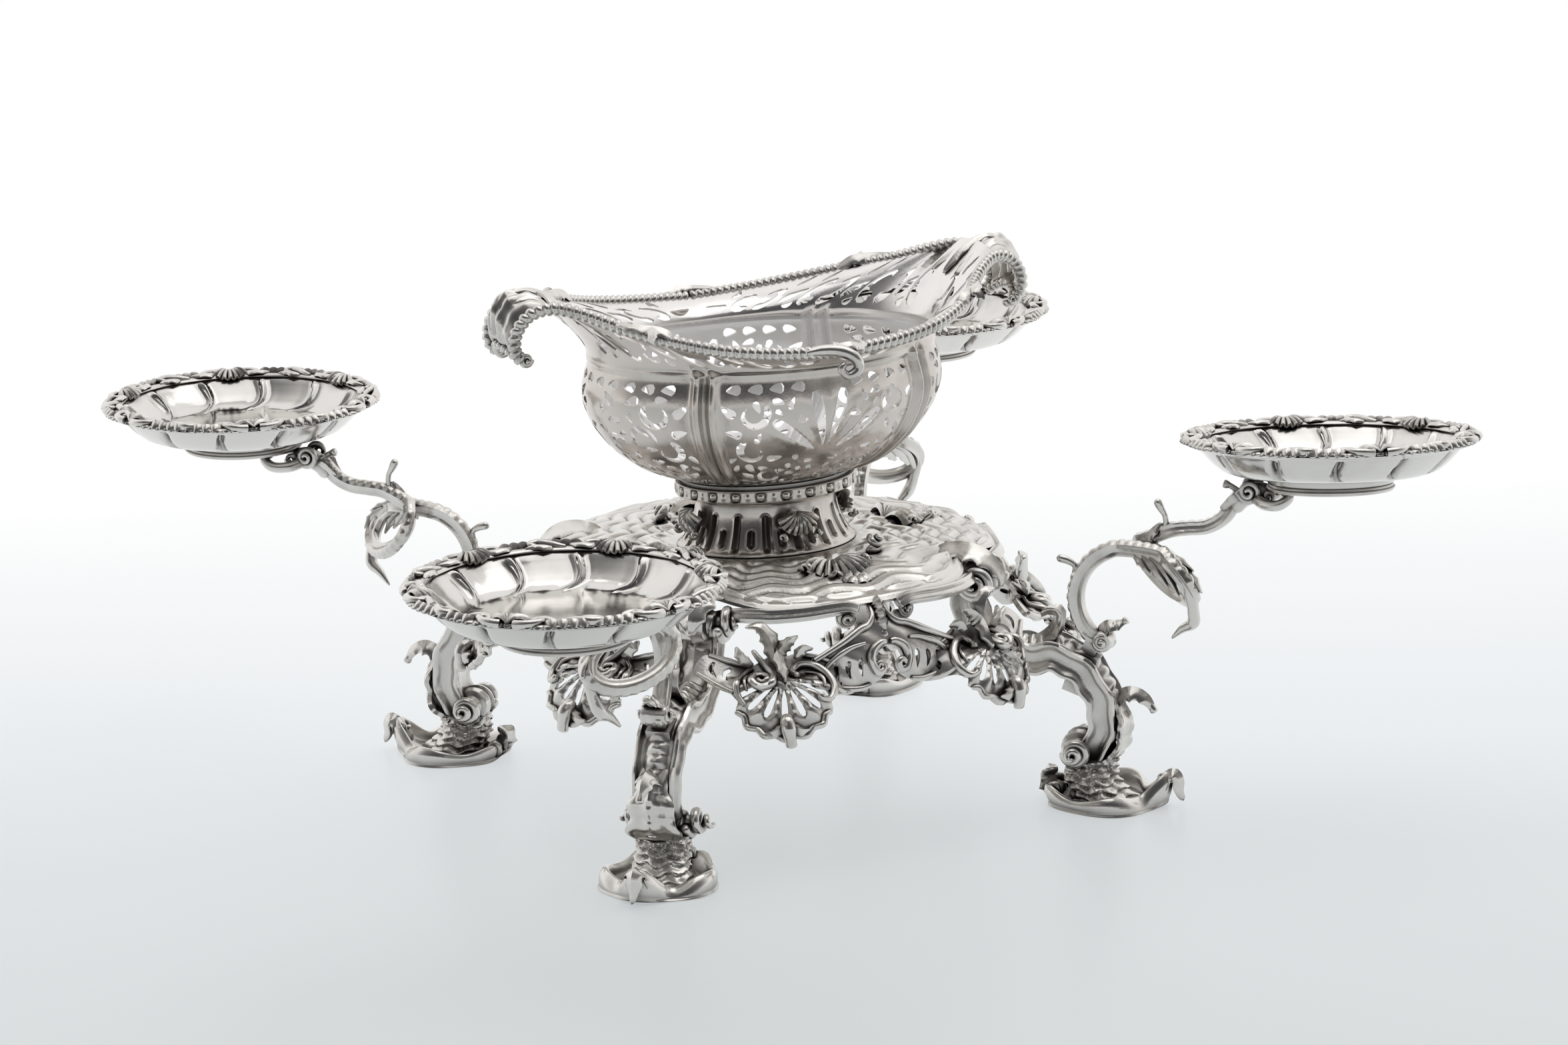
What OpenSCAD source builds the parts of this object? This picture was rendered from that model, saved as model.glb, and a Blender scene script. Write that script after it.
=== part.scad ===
// Silver epergne: a footed stand with an oval pierced basket on top
// and four scroll branches that each carry a round dish.
// Millimetres, +Z up, origin on the table under the middle of the stand, front towards -Y.

/* [Platform] */
// Radius of the platform at the middle of each side
platform_r = 132; // [127:1:138]
// Height of the platform's underside above the table
platform_z = 122; // [118:1:127]
// Thickness of the raised platform sheet
platform_wall = 3; // [2.5:0.5:4]
// Rise of the platform's dome from its underside to its flat top
dome_rise = 21; // [17:1:25]
// Radius of the flat top that the spool stands on
dome_flat_r = 54; // [53:1:60]
// Half width of the notch that each leg top stands in
notch_half = 17; // [16:0.5:19]
// Height of the moulding under the platform's edge
rail_h = 6.5; // [5:0.5:8]
// Radius of the scrolls at the middle of each side
side_scroll_r = 8; // [6.5:0.5:9]

/* [Spool and gallery] */
// Height of the fluted spool
spool_h = 31; // [26:1:36]
// Half length of the spool's waist
spool_a = 41; // [38:1:43]
// Half width of the spool's waist
spool_b = 32; // [30:1:34]
// Spread of the spool at its foot
spool_flare = 11; // [8:0.5:12]
// Number of flutes around the spool
flute_count = 20; // [16:2:24]
// Half length of the gallery that the basket stands in
gallery_a = 54; // [52:1:57]
// Half width of the gallery
gallery_b = 42; // [40:1:44]
// Height of the gallery's beaded band
gallery_h = 7.4; // [6.5:0.1:9]
// Thickness of the gallery's band and floor
gallery_wall = 2.4; // [2:0.1:3]

/* [Legs and feet] */
// Distance of the leg's outermost bend from the centre
leg_reach = 199; // [194:1:204]
// Height of the leg's bend above the table
leg_bend_z = 54; // [51:1:57]
// Height of the leg's arch above the table
arch_z = 85.5; // [83:0.5:88]
// Width of the leg
leg_w = 23; // [20:0.5:26]
// Thickness of the leg
leg_t = 18; // [16:0.5:20]
// Length of the roll at the bottom of the leg
roll_len = 52; // [44:1:58]
// Radius of the foot's wavy base
foot_r = 32; // [29:0.5:35]
// Height of the foot's pedestal
foot_h = 20; // [18.5:0.5:21.5]
// Number of waves around the foot
foot_waves = 7; // [6:1:9]

/* [Sockets and tenons] */
// Width of the square tenon
tenon_w = 8; // [7:0.5:9]
// Length of the tenon inside its socket
tenon_depth = 19; // [17:0.5:20]
// Length of the tenon that shows above its socket
tenon_show = 5.5; // [5:0.5:7]
// Wall of the socket
socket_wall = 2.4; // [2:0.1:3]
// Lean of the tenon, top outwards, in degrees
tenon_tilt = 19.5; // [17:0.5:22]
// Clearance between pieces that lift apart
fit_gap = 0.4; // [0.3:0.05:0.6]

/* [Branches] */
// Radius of the branch's C scroll
scroll_r = 29.5; // [28:0.5:31]
// Thickness of the branch
strand_d = 9; // [8:0.5:10]
// Half height of the loop
loop_rise = 19.5; // [18.5:0.5:20.5]
// Half width of the loop, across the branch
loop_half = 18; // [16:0.5:20]
// Distance of each dish from the centre
dish_s = 326; // [322:1:330]
// Drop of the front left dish, bent down in use
drop_front_left = 17; // [0:1:18]
// Drop of the front right dish
drop_front_right = 0; // [0:1:8]
// Drop of the back right dish
drop_back_right = 4; // [0:1:10]
// Drop of the back left dish
drop_back_left = 8; // [0:1:12]

/* [Dishes] */
// Radius of the ring that holds a dish
ring_r = 33; // [31:0.5:35]
// Width of the ring's band
ring_w = 5; // [4:0.5:6]
// Height of the ring
ring_h = 4; // [3:0.5:5]
// Height of the front right ring's top above the table
ring_top_z = 193; // [190:1:196]
// Radius of the dish
dish_r = 82; // [76:1:86]
// Height of the dish without its border
dish_h = 23.5; // [21:0.5:26]
// Radius of the dish's flat bottom
dish_floor_r = 46; // [44:1:48]
// Thickness of the dish
dish_wall = 2; // [1.6:0.1:2.6]
// Width of the cast border
border_w = 11; // [9:0.5:13]
// Thickness of the cast border
border_t = 3; // [2.5:0.5:4]
// Number of lobes around the border
border_lobes = 12; // [8:1:16]

/* [Basket] */
// Half length of the basket at its widest
basket_a = 107; // [102:1:112]
// Half width of the basket at its widest
basket_b = 82; // [79:1:86]
// Height of the basket's collar
collar_h = 7; // [6:0.5:9]
// Height of the bowl from its collar to its neck
bowl_h = 73; // [68:1:78]
// Thickness of the basket's sheet
basket_wall = 2; // [1.6:0.1:2.6]
// Thickness of the gadrooned rim
rim_d = 6; // [5:0.5:7]
// Reach of each end lip from the centre
lip_reach = 166; // [162:1:170]
// Number of rays in each pierced fan
fan_rays = 7; // [5:2:9]

/* [Aprons] */
// Distance of each pierced shell from the middle of its side
fan_x = 61; // [58:1:64]
// Distance of each pierced shell in front of the platform's edge
fan_y = 4; // [1:1:8]
// Drop of each pierced shell below the platform
fan_drop = 20.5; // [18:0.5:23]
// Lean of the pierced shells, foot outwards, in degrees
fan_lean = 42; // [38:1:46]
// Thickness of the aprons
apron_t = 4.5; // [3.5:0.5:5.5]
// Number of slots in each pierced shell
fan_slots = 7; // [5:1:8]

/* [Shells] */
// Radius of the shells on the platform
wave_shell_r = 21; // [18:0.5:24]
// Radius of the shells on the spool
spool_shell_r = 12; // [10:0.5:13]

/* [Hidden] */
$fn = 48;
CORNERS = ["front_left", "front_right", "back_right", "back_left"];
SIDES = ["front", "right", "back", "left"];
STAND = ["platform", "spool", "gallery"];
BASKET = ["basket_collar", "basket_bowl", "basket_lips", "basket_rim", "basket_knops", "basket_hooks"];
BY_SIDE = ["rail", "apron", "wave_shell", "spool_shell"];
BY_CORNER = ["foot", "leg", "socket", "tenon", "branch", "dish_ring", "dish", "dish_border"];

silver = "silver";
// Gap left where two soldered pieces meet on a curved face
solder = 0.1;
// Length that is longer than any piece, for cutting
far = 400;

function corner_angle(i) = 225 + 90 * i;
function side_angle(i) = 90 * i;
function drop(i) = [drop_front_left, drop_front_right, drop_back_right, drop_back_left][i];

// Heights that stack from the table up
dome_z = platform_z + dome_rise;
spool_top = dome_z + spool_h;
gallery_floor = spool_top + gallery_wall;
bowl_z = gallery_floor + collar_h;
neck_z = bowl_z + bowl_h;
basket_ratio = basket_b / basket_a;

// Gallery recess and the collar that drops into it
recess_a = gallery_a - gallery_wall;
recess_b = gallery_b - gallery_wall;
collar_a = recess_a - fit_gap;
collar_b = recess_b - fit_gap;

// Rails under the platform's edge
rail_outer = platform_r - 1;
rail_inner = rail_outer - 9;
rail_from = 8;
rail_to = 35;

// Leg top and roll in the platform's notch
notch_s = platform_r - 15;
strut_s = notch_s + 4;
top_roll_r = 9;
top_roll_s = notch_s + top_roll_r + 1;
top_roll_z = platform_z + 4;
leg_half = leg_w / 2;

// Foot and leg bottom
foot_s = leg_reach + 0.5;
pedestal_s = leg_reach - 5;
roll_s = leg_reach - 20;
roll_z = foot_h + 8.5;
roll_r = 10;

// Socket mouth on the leg's arch
socket_s = leg_reach - 9.5;
socket_z = arch_z + 1.5;
bore_w = tenon_w + 2 * fit_gap;
socket_w = bore_w + 2 * socket_wall;
socket_floor = 5;
tenon_in = 4;

// C scroll of the branch, set out from the tenon's top
tenon_top_s = socket_s + tenon_show * sin(tenon_tilt);
tenon_top_z = socket_z + tenon_show * cos(tenon_tilt);
scroll_s = tenon_top_s + scroll_r * cos(45);
scroll_z = tenon_top_z + 6 + scroll_r * sin(45);
strand = strand_d / 2;
loop_s = scroll_s + 21;
loop_z = scroll_z + scroll_r - loop_rise + 1.5;
loop_reach = 16;
loop_slant = 9;
loop_climb = 3.5;
loop_top_z = loop_z + loop_rise + loop_climb;
block_s = dish_s - ring_r - 13;

function ring_top(i) = ring_top_z - drop(i);

// Plain curve tools

function unit(v) = v / norm(v);
function mix(a, b, t) = a + (b - a) * t;
function ease(t) = t * t * (3 - 2 * t);

// Point at u on a smooth curve that passes through the points p
function through(p, u) =
    let (
        n = len(p) - 1,
        i = min(floor(u), n - 1),
        t = u - i,
        a = p[max(i - 1, 0)],
        b = p[i],
        c = p[i + 1],
        d = p[min(i + 2, n)]
    )
    (2 * b + (c - a) * t + (2 * a - 5 * b + 4 * c - d) * t * t
        + (3 * b - a - 3 * c + d) * t * t * t) / 2;

function curve(p, steps) = [for (k = [0:steps]) through(p, k * (len(p) - 1) / steps)];

// Smooth closed outline through flat points
function closed(p, steps) =
    let (n = len(p), ring = concat([p[n - 1]], p, [p[0], p[1]]))
    [for (k = [0:steps - 1]) through(ring, 1 + k * n / steps)];

function ellipse(a, b, n = 64) = [for (k = [0:n - 1]) [a * cos(360 * k / n), b * sin(360 * k / n)]];

// Directions along a route and the frame that travels it with least turning
function tangents(p) =
    let (n = len(p) - 1)
    [for (i = [0:n]) unit(p[min(i + 1, n)] - p[max(i - 1, 0)])];
function squared(t, v) = unit(v - t * (t * v));
function normals(t, first, i = 0, done = []) =
    i == len(t) ? done : normals(t, first, i + 1,
        concat(done, [squared(t[i], i == 0 ? first : done[i - 1])]));

// Solid skin over a stack of rings with the same number of points
module skin(rings) {
    n = len(rings[0]);
    last = len(rings) - 1;
    sides = [
        for (i = [0:last - 1], j = [0:n - 1])
            let (a = i * n + j, b = i * n + (j + 1) % n)
            each [[a, a + n, b + n], [a, b + n, b]]
    ];
    caps = [
        [for (j = [0:n - 1]) j],
        [for (j = [n - 1:-1:0]) last * n + j]
    ];
    polyhedron(points = [for (ring = rings) each ring], faces = concat(sides, caps), convexity = 6);
}

function quad(a, b, c, d) = [[a, b, c], [a, c, d]];

// Sheet between two grids of points, rows upwards and columns to the right seen from outside,
// closed on itself if wrap is true, and without the cells that open() picks out
module sheet(outer, inner, wrap = false, open = function(row, column) false) {
    rows = len(outer) - 1;
    n = len(outer[0]);
    columns = wrap ? n : n - 1;
    count = len(outer) * n;
    function gap(k, j) =
        k < 0 || k >= rows ? true
        : wrap ? open(k, (j + n) % n)
        : j < 0 || j >= columns || open(k, j);
    faces = [
        for (k = [0:rows - 1], j = [0:columns - 1])
            if (!gap(k, j))
                let (a = k * n + j, b = k * n + (j + 1) % n, c = b + n, d = a + n)
                each concat(
                    quad(a, d, c, b),
                    quad(count + a, count + b, count + c, count + d),
                    gap(k, j - 1) ? quad(a, count + a, count + d, d) : [],
                    gap(k, j + 1) ? quad(b, c, count + c, count + b) : [],
                    gap(k - 1, j) ? quad(a, b, count + b, count + a) : [],
                    gap(k + 1, j) ? quad(d, count + d, count + c, c) : []
                )
    ];
    polyhedron(points = [for (row = concat(outer, inner)) each row], faces = faces, convexity = 8);
}

// Grid that lies a wall's thickness inside another
function inside_of(grid, wall, wrap) =
    let (rows = len(grid) - 1, n = len(grid[0]))
    [for (k = [0:rows]) [
        for (j = [0:n - 1])
            let (
                before = wrap ? (j + n - 1) % n : max(j - 1, 0),
                after = wrap ? (j + 1) % n : min(j + 1, n - 1),
                along = grid[k][after] - grid[k][before],
                up = grid[min(k + 1, rows)][j] - grid[max(k - 1, 0)][j]
            )
            grid[k][j] - wall * unit(cross(along, up))
    ]];

// Sweep of a flat section along a route, sized at each step by [out, across]
module sweep(route, sizes, section, out) {
    t = tangents(route);
    n = normals(t, out);
    skin([
        for (i = [0:len(route) - 1])
            let (across = cross(t[i], n[i]))
            [for (q = section) route[i] + n[i] * q.x * sizes[i].x + across * q.y * sizes[i].y]
    ]);
}

function round_section(n) = [for (k = [0:n - 1]) [cos(360 * (k + 0.5) / n), sin(360 * (k + 0.5) / n)]];

// Leaf that swells from its stem and narrows to its tip along a few points
module leaf(points, width, thick) {
    last = len(points) - 1;
    t = tangents(points);
    n = normals(t, [0.31, 0.02, 0.95]);
    rings = [
        for (i = [0:last])
            let (
                u = i / last,
                swell = 0.25 + 0.95 * sin(180 * pow(u, 0.7)) * (1 - 0.35 * u),
                out = n[i] * thick / 2 * max(swell, 0.45) * 0.8,
                across = cross(t[i], n[i]) * width / 2 * swell
            )
            [points[i] - across, points[i] + out, points[i] + across, points[i] - out]
    ];
    for (i = [1:last]) hull() skin([rings[i - 1], rings[i]]);
}

// Rope of short joined beads between two sizes of ball
module bead(a, b, ra, rb, n = 8) {
    hull() {
        translate(a) sphere(ra, $fn = n);
        translate(b) sphere(rb, $fn = n);
    }
}

// Horizontal roll across the branch or leg, narrowing to both ends
module roll(at, r, length, tip = 0.45) {
    sides = 8;
    for (way = [-1, 1])
        hull() {
            translate(at) rotate([90, 0, 0]) cylinder(r = r, h = 0.2, center = true, $fn = sides);
            translate(at + [0, way * length / 2, 0])
                rotate([90, 0, 0]) cylinder(r = r * tip, h = 0.2, center = true, $fn = sides);
        }
}

// Fluted scallop shell lying flat, hinge at the origin, opening along -Y
module fan_shell(r, ribs, rise) {
    spread = 150;
    steps = 2 * ribs;
    rows = 2;
    function at(i, j) =
        let (
            u = i / steps,
            angle = -90 + spread * (u - 0.5),
            ridge = i % 2,
            reach = r * (j == rows ? 0.9 + 0.1 * ridge : 1) * mix(0.12, 1, j / rows),
            crown = sin(180 * mix(0.08, 0.92, u)) * sin(180 * mix(0.2, 0.85, j / rows))
        )
        [reach * cos(angle), reach * sin(angle), 1 + rise * crown + ridge * 0.07 * r * j / rows];
    top = [for (j = [0:rows]) [for (i = [steps:-1:0]) at(i, j)]];
    sheet(top, [for (row = top) [for (q = row) [q.x, q.y, 0]]]);
}

// Stand: platform, mouldings, spool and gallery

module platform_outline() {
    difference() {
        circle(platform_r, $fn = 96);
        for (i = [0:3])
            rotate(corner_angle(i))
                translate([notch_s, -notch_half])
                    square([far, 2 * notch_half]);
    }
}

module platform() {
    edge_z = platform_z + platform_wall;
    top = [
        [dome_flat_r, dome_z],
        [mix(dome_flat_r, platform_r, 0.5), dome_z - dome_rise * 0.09],
        [mix(dome_flat_r, platform_r, 0.74), mix(edge_z, dome_z, 0.6)],
        [platform_r, edge_z]
    ];
    under_r = rail_inner - 6;
    under = [
        [under_r, platform_z],
        [mix(dome_flat_r, platform_r, 0.66), mix(edge_z, dome_z, 0.6) - platform_wall],
        [mix(dome_flat_r, platform_r, 0.4), dome_z - dome_rise * 0.09 - platform_wall],
        [dome_flat_r - 6, dome_z - platform_wall]
    ];
    color(silver)
        intersection() {
            rotate_extrude($fn = 96)
                polygon(concat(
                    [[0, dome_z - platform_wall], [0, dome_z]],
                    curve(top, 9),
                    [[platform_r, platform_z]],
                    curve(under, 9)
                ));
            linear_extrude(dome_z + 1) platform_outline();
        }
}

// Moulding under one side of the platform, in two lengths with a gap between them at the middle
module rail_arcs(grow = 0) {
    low = platform_z - rail_h - grow;
    profile = [
        [rail_inner - grow, platform_z],
        [rail_inner - grow, mix(platform_z, low, 0.35)],
        [rail_inner - grow + 2.5, low],
        [rail_outer + grow - 2, low],
        [rail_outer + grow, mix(platform_z, low, 0.55)],
        [rail_outer + grow, platform_z]
    ];
    for (way = [-1, 1])
        rotate(way > 0 ? -90 + rail_from : -90 - rail_to)
            rotate_extrude(angle = rail_to - rail_from, $fn = 96)
                polygon(profile);
}

module rail() {
    scroll_len = 7;
    color(silver) {
        rail_arcs();
        for (way = [-1, 1])
            rotate(-90 + way * rail_from)
                translate([platform_r + solder, 0, platform_z - 0.5])
                    rotate([0, 90, 0]) {
                        cylinder(r = side_scroll_r, h = scroll_len);
                        cylinder(r = side_scroll_r * 0.45, h = scroll_len + 1.5);
                    }
    }
}

// Oval of the spool at a share u of its height
function spool_spread(u) = spool_flare * pow(1 - u, 2.2) + 1.5 * pow(u, 6);

module spool() {
    levels = 6;
    groove = 2;
    // Flutes run from the foot, every second one only half way up
    function depth(k, u) =
        k % 2 == 0 || u < 0.1 ? 0 : groove * (u < (k % 4 == 1 ? 0.85 : 0.55) ? 1 : 0);
    color(silver)
        skin([
            for (k = [0:levels])
                let (u = k / levels)
                [for (j = [0:2 * flute_count - 1])
                    let (angle = 180 * j / flute_count, s = spool_spread(u) - depth(j, u))
                    [(spool_a + s) * cos(angle), (spool_b + s) * sin(angle), dome_z + spool_h * u]]
        ]);
}

module gallery() {
    beads = 20;
    color(silver)
        union() {
            difference() {
                translate([0, 0, spool_top])
                    linear_extrude(gallery_h) polygon(ellipse(gallery_a, gallery_b));
                translate([0, 0, gallery_floor])
                    linear_extrude(gallery_h) polygon(ellipse(recess_a, recess_b));
            }
            for (k = [0:beads - 1])
                let (angle = 360 * k / beads, turn = atan2(sin(angle) / gallery_b, cos(angle) / gallery_a))
                translate([gallery_a * cos(angle), gallery_b * sin(angle), spool_top + gallery_h / 2])
                    rotate([0, 90, turn])
                        cylinder(r = gallery_h * 0.33, h = 1.6, center = true);
        }
}

// Shell with its hinge on the spool's waist, one on each side
module spool_shell(i) {
    half = i % 2 == 0 ? spool_b : spool_a;
    u = 0.72;
    lean = 12;
    color(silver)
        rotate(side_angle(i))
            translate([0, -half - spool_spread(u) - 1.2, dome_z + spool_h * u])
                rotate([90 - lean, 0, 0])
                    fan_shell(spool_shell_r, 4, 3);
}

// Larger shell lying on the wave-chased slope of the platform
module wave_shell(i) {
    start_r = mix(dome_flat_r, platform_r, 0.3);
    lean = 6;
    color(silver)
        rotate(side_angle(i))
            translate([0, -start_r, dome_z + 0.3])
                rotate([lean, 0, 0])
                    fan_shell(wave_shell_r, 5, 5);
}

// Aprons: two leaning pierced shells joined by a saddle under each side

wing_turn = 25;

// Half outline of a wing: band from the saddle, leaf on top, end at the leg, scalloped shell below
function wing_outline() =
    let (
        scallops = 2 * fan_slots,
        shell = [
            for (k = [0:scallops])
                let (angle = -8 - 164 * k / scallops, r = 27 + (k % 2 == 0 ? -1 : 1))
                [r * cos(angle), -4 + r * 1.12 * sin(angle)]
        ]
    )
    concat(
        [
            [-58, 22], [-46, 15], [-34, 12], [-24, 15], [-14, 17], [-8, 22], [-10, 32], [-2, 37],
            [6, 30], [9, 20], [20, 16], [30, 22], [42, 26], [48, 14], [36, 4]
        ],
        shell,
        [[-38, -4], [-50, 1], [-58, 4]]
    );

// Slot of a pierced shell or band: pointed at its start and round at its end
module slot(from, to, angle, width) {
    rotate(angle)
        polygon([
            [from, 0], [mix(from, to, 0.6), width * 0.42], [to - width * 0.3, width * 0.5],
            [to, 0], [to - width * 0.3, -width * 0.5], [mix(from, to, 0.6), -width * 0.42]
        ]);
}

module wing_face() {
    hinge = [0, 5];
    difference() {
        polygon(closed(wing_outline(), 84));
        translate(hinge)
            for (k = [0:fan_slots - 1])
                slot(9, 26, -90 + 132 * (k / (fan_slots - 1) - 0.5), 3.4);
        for (k = [0:2])
            translate([-47 + 5.5 * k, 6.5 - 0.8 * k]) slot(-5, 5, 78, 2.6);
        translate([30, 8]) slot(-5, 5, 60, 2.6);
        translate([36, 13]) slot(-4, 4, 60, 2.6);
    }
}

module wing() {
    translate([fan_x, -platform_r - fan_y, platform_z - fan_drop])
        rotate([0, 0, wing_turn])
            rotate([90 - fan_lean, 0, 0]) {
                linear_extrude(apron_t, center = true) wing_face();
                for (q = [[-15, 7, 6.5], [16, 6, 6.5], [-22, -9, 4], [23, -8, 4]])
                    translate([q.x, q.y, 0]) cylinder(r = q.z, h = apron_t + 3, center = true);
                translate([0, -38, 0.5]) sphere(4);
            }
}

// Bracket under the middle of the side, with a scroll-edged opening below
module saddle() {
    lean = 18;
    half = [
        [9, 0], [10, -7], [17, -15], [27, -20], [27, -34], [14, -32], [9, -24]
    ];
    translate([0, -platform_r + 7, platform_z])
        rotate([90 - lean, 0, 0])
            linear_extrude(apron_t + 1, center = true)
                polygon(concat(half, [[0, -20]], [for (k = [len(half) - 1:-1:0]) [-half[k].x, half[k].y]]));
}

module apron() {
    color(silver)
        difference() {
            union() {
                wing();
                mirror([1, 0, 0]) wing();
                saddle();
            }
            // Flat seat under the platform and its mouldings
            translate([-far / 2, -far, platform_z]) cube([far, far, far]);
            rail_arcs(fit_gap);
            // Ends that stop beside the legs
            for (i = [0, 1])
                rotate(corner_angle(i))
                    translate([0, -leg_half - 1.2, 0])
                        cube([far, leg_w + 2.4, far]);
        }
}

// Legs, feet and sockets, in a frame whose X runs out along the diagonal

function leg_route() = [
    for (p = curve([
        [strut_s, platform_z + 6], [strut_s - 1, platform_z - 6],
        [strut_s + 3, mix(arch_z, platform_z, 0.35)], [strut_s + 15, arch_z + 3],
        [mix(strut_s, leg_reach, 0.43), arch_z - 1], [mix(strut_s, leg_reach, 0.64), arch_z],
        [leg_reach - 14, arch_z - 6], [leg_reach - 4.5, mix(leg_bend_z, arch_z, 0.45)],
        [leg_reach, leg_bend_z], [leg_reach - 1.5, mix(leg_bend_z, roll_z, 0.55)],
        [leg_reach - 9, roll_z], [roll_s + 2, roll_z - 2]
    ], 15)) [p.x, 0, p.y]
];

// Section of the leg: raised edges with a ridge down the outer face
leg_section = [
    [1.15, 0], [0.65, 0.5], [0.9, 0.95], [-0.55, 1], [-1, 0.45],
    [-1, -0.45], [-0.55, -1], [0.9, -0.95], [0.65, -0.5]
];

// Frame at the socket's mouth with Z along the tenon
module along_tenon() {
    translate([socket_s, 0, socket_z])
        rotate([0, tenon_tilt, 0])
            children();
}

module socket_shape(grow = 0) {
    w = socket_w + 2 * grow;
    length = tenon_depth + socket_floor;
    along_tenon()
        translate([0, 0, -length - grow])
            linear_extrude(length + 2 * grow)
                square(w, center = true);
}

module leg() {
    route = leg_route();
    steps = len(route) - 1;
    sizes = [
        for (i = [0:steps])
            let (u = i / steps)
            [leg_t / 2 * (0.8 + 0.2 * ease(min(u * 3, 1))), leg_half * (i == steps ? 0.8 : 1)]
    ];
    color(silver)
        difference() {
            union() {
                sweep(route, sizes, leg_section, [1, 0, 0]);
                roll([roll_s, 0, roll_z], roll_r, roll_len);
                roll([top_roll_s, 0, top_roll_z], top_roll_r, 2 * notch_half - 3, 0.75);
                // Leaf that curls up from the arch and leaf that springs from the bend
                leaf([
                    [strut_s + 34, 0, arch_z + 5], [strut_s + 46, 0, arch_z + 11],
                    [strut_s + 51, 0, arch_z + 18],
                    [strut_s + 48, 0, arch_z + 23], [strut_s + 42, 0, arch_z + 21]
                ], 15, 7);
                leaf([
                    [leg_reach + 4, 0, leg_bend_z - 6], [leg_reach + 9, 0, leg_bend_z + 8],
                    [leg_reach + 16, 0, leg_bend_z + 15], [leg_reach + 25, 0, leg_bend_z + 7]
                ], 15, 6);
            }
            // Flat seat under the platform, clear of the platform's notch
            translate([0, -far / 2, platform_z]) cube([notch_s + solder, far, far]);
            // Flat seat on the foot
            translate([0, -far / 2, foot_h - far]) cube([far, far, far]);
            socket_shape(solder);
            // Way out for the tenon above the socket's mouth
            along_tenon() linear_extrude(far) square(bore_w, center = true);
        }
}

module socket() {
    length = tenon_depth + socket_floor;
    color(silver)
        difference() {
            socket_shape();
            along_tenon()
                translate([0, 0, -tenon_depth])
                    linear_extrude(length) square(bore_w, center = true);
        }
}

// Height and reach added to the foot's rim where it turns up into a lip, by turn from outwards
function lip_up(angle) = pow(max(cos(angle), 0), 24);

module foot() {
    points = 4 * foot_waves;
    under = 2;
    // Each ring: height, radius, waves in plan, waves in height, share of the lip
    rings = [
        [-under, foot_r - 1.5, 1, 0, 0], [2.5, foot_r, 1, 0, 0.5], [5, foot_r - 1, 1, 1.6, 1],
        [4, foot_r - 6, 0.5, 0.8, 0.5], [foot_h * 0.6, foot_r - 14.5, 0.8, 0.5, 0],
        [foot_h, foot_r - 17.5, 0, 0, 0]
    ];
    lip_reach_out = 9;
    lip_height = 11;
    color(silver)
        difference() {
            skin([
                for (q = rings)
                    let (s = mix(foot_s, pedestal_s, max(q[0], 0) / foot_h))
                    [for (k = [0:points - 1])
                        let (
                            angle = 360 * k / points,
                            wave = cos(foot_waves * angle),
                            lip = q[4] * lip_up(angle),
                            r = q[1] + q[2] * wave + lip_reach_out * lip
                        )
                        [s + r * cos(angle), r * sin(angle), q[0] + q[3] * (1 + wave) + lip_height * lip]]
            ]);
            translate([0, -far / 2, -far]) cube(far);
        }
}

// Branches

module tenon() {
    color(silver)
        along_tenon()
            translate([0, 0, -tenon_depth])
                linear_extrude(tenon_depth + tenon_show + tenon_in)
                    square(tenon_w, center = true);
}

function on_scroll(angle) = [scroll_s + scroll_r * cos(angle), 0, scroll_z + scroll_r * sin(angle)];

// One turn of the loop from its top at 90 degrees, down the near side and back up the far side
function on_loop(angle) =
    let (climb = loop_climb * ease((90 - angle) / 360))
    [
        loop_s + loop_reach * cos(angle) - loop_slant * sin(angle),
        -loop_half * cos(angle),
        loop_z + loop_rise * sin(angle) + climb
    ];

function near_strand() = concat(
    [for (k = [0:8]) on_scroll(mix(238, 88, k / 8))],
    [for (k = [0:6]) on_loop(mix(70, -100, k / 6))]
);

function far_strand(i) =
    let (rise = ring_top(i) - ring_h - 2 - loop_top_z)
    concat(
        [for (k = [0:6]) on_loop(mix(-80, -262, k / 6))],
        [
            [loop_s + 1, 0, loop_top_z + min(6, 0.3 * rise)],
            [loop_s + 10, 0, loop_top_z + 0.24 * rise],
            [loop_s + 20, 0, loop_top_z + 0.27 * rise],
            [mix(loop_s + 20, block_s, 0.45), 0, loop_top_z + 0.42 * rise],
            [mix(loop_s + 20, block_s, 0.78), 0, loop_top_z + 0.74 * rise],
            [block_s, 0, loop_top_z + rise]
        ]
    );

function taper(count, from, to) = [for (k = [0:count]) [1, 1] * mix(from, to, k / count)];

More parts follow.
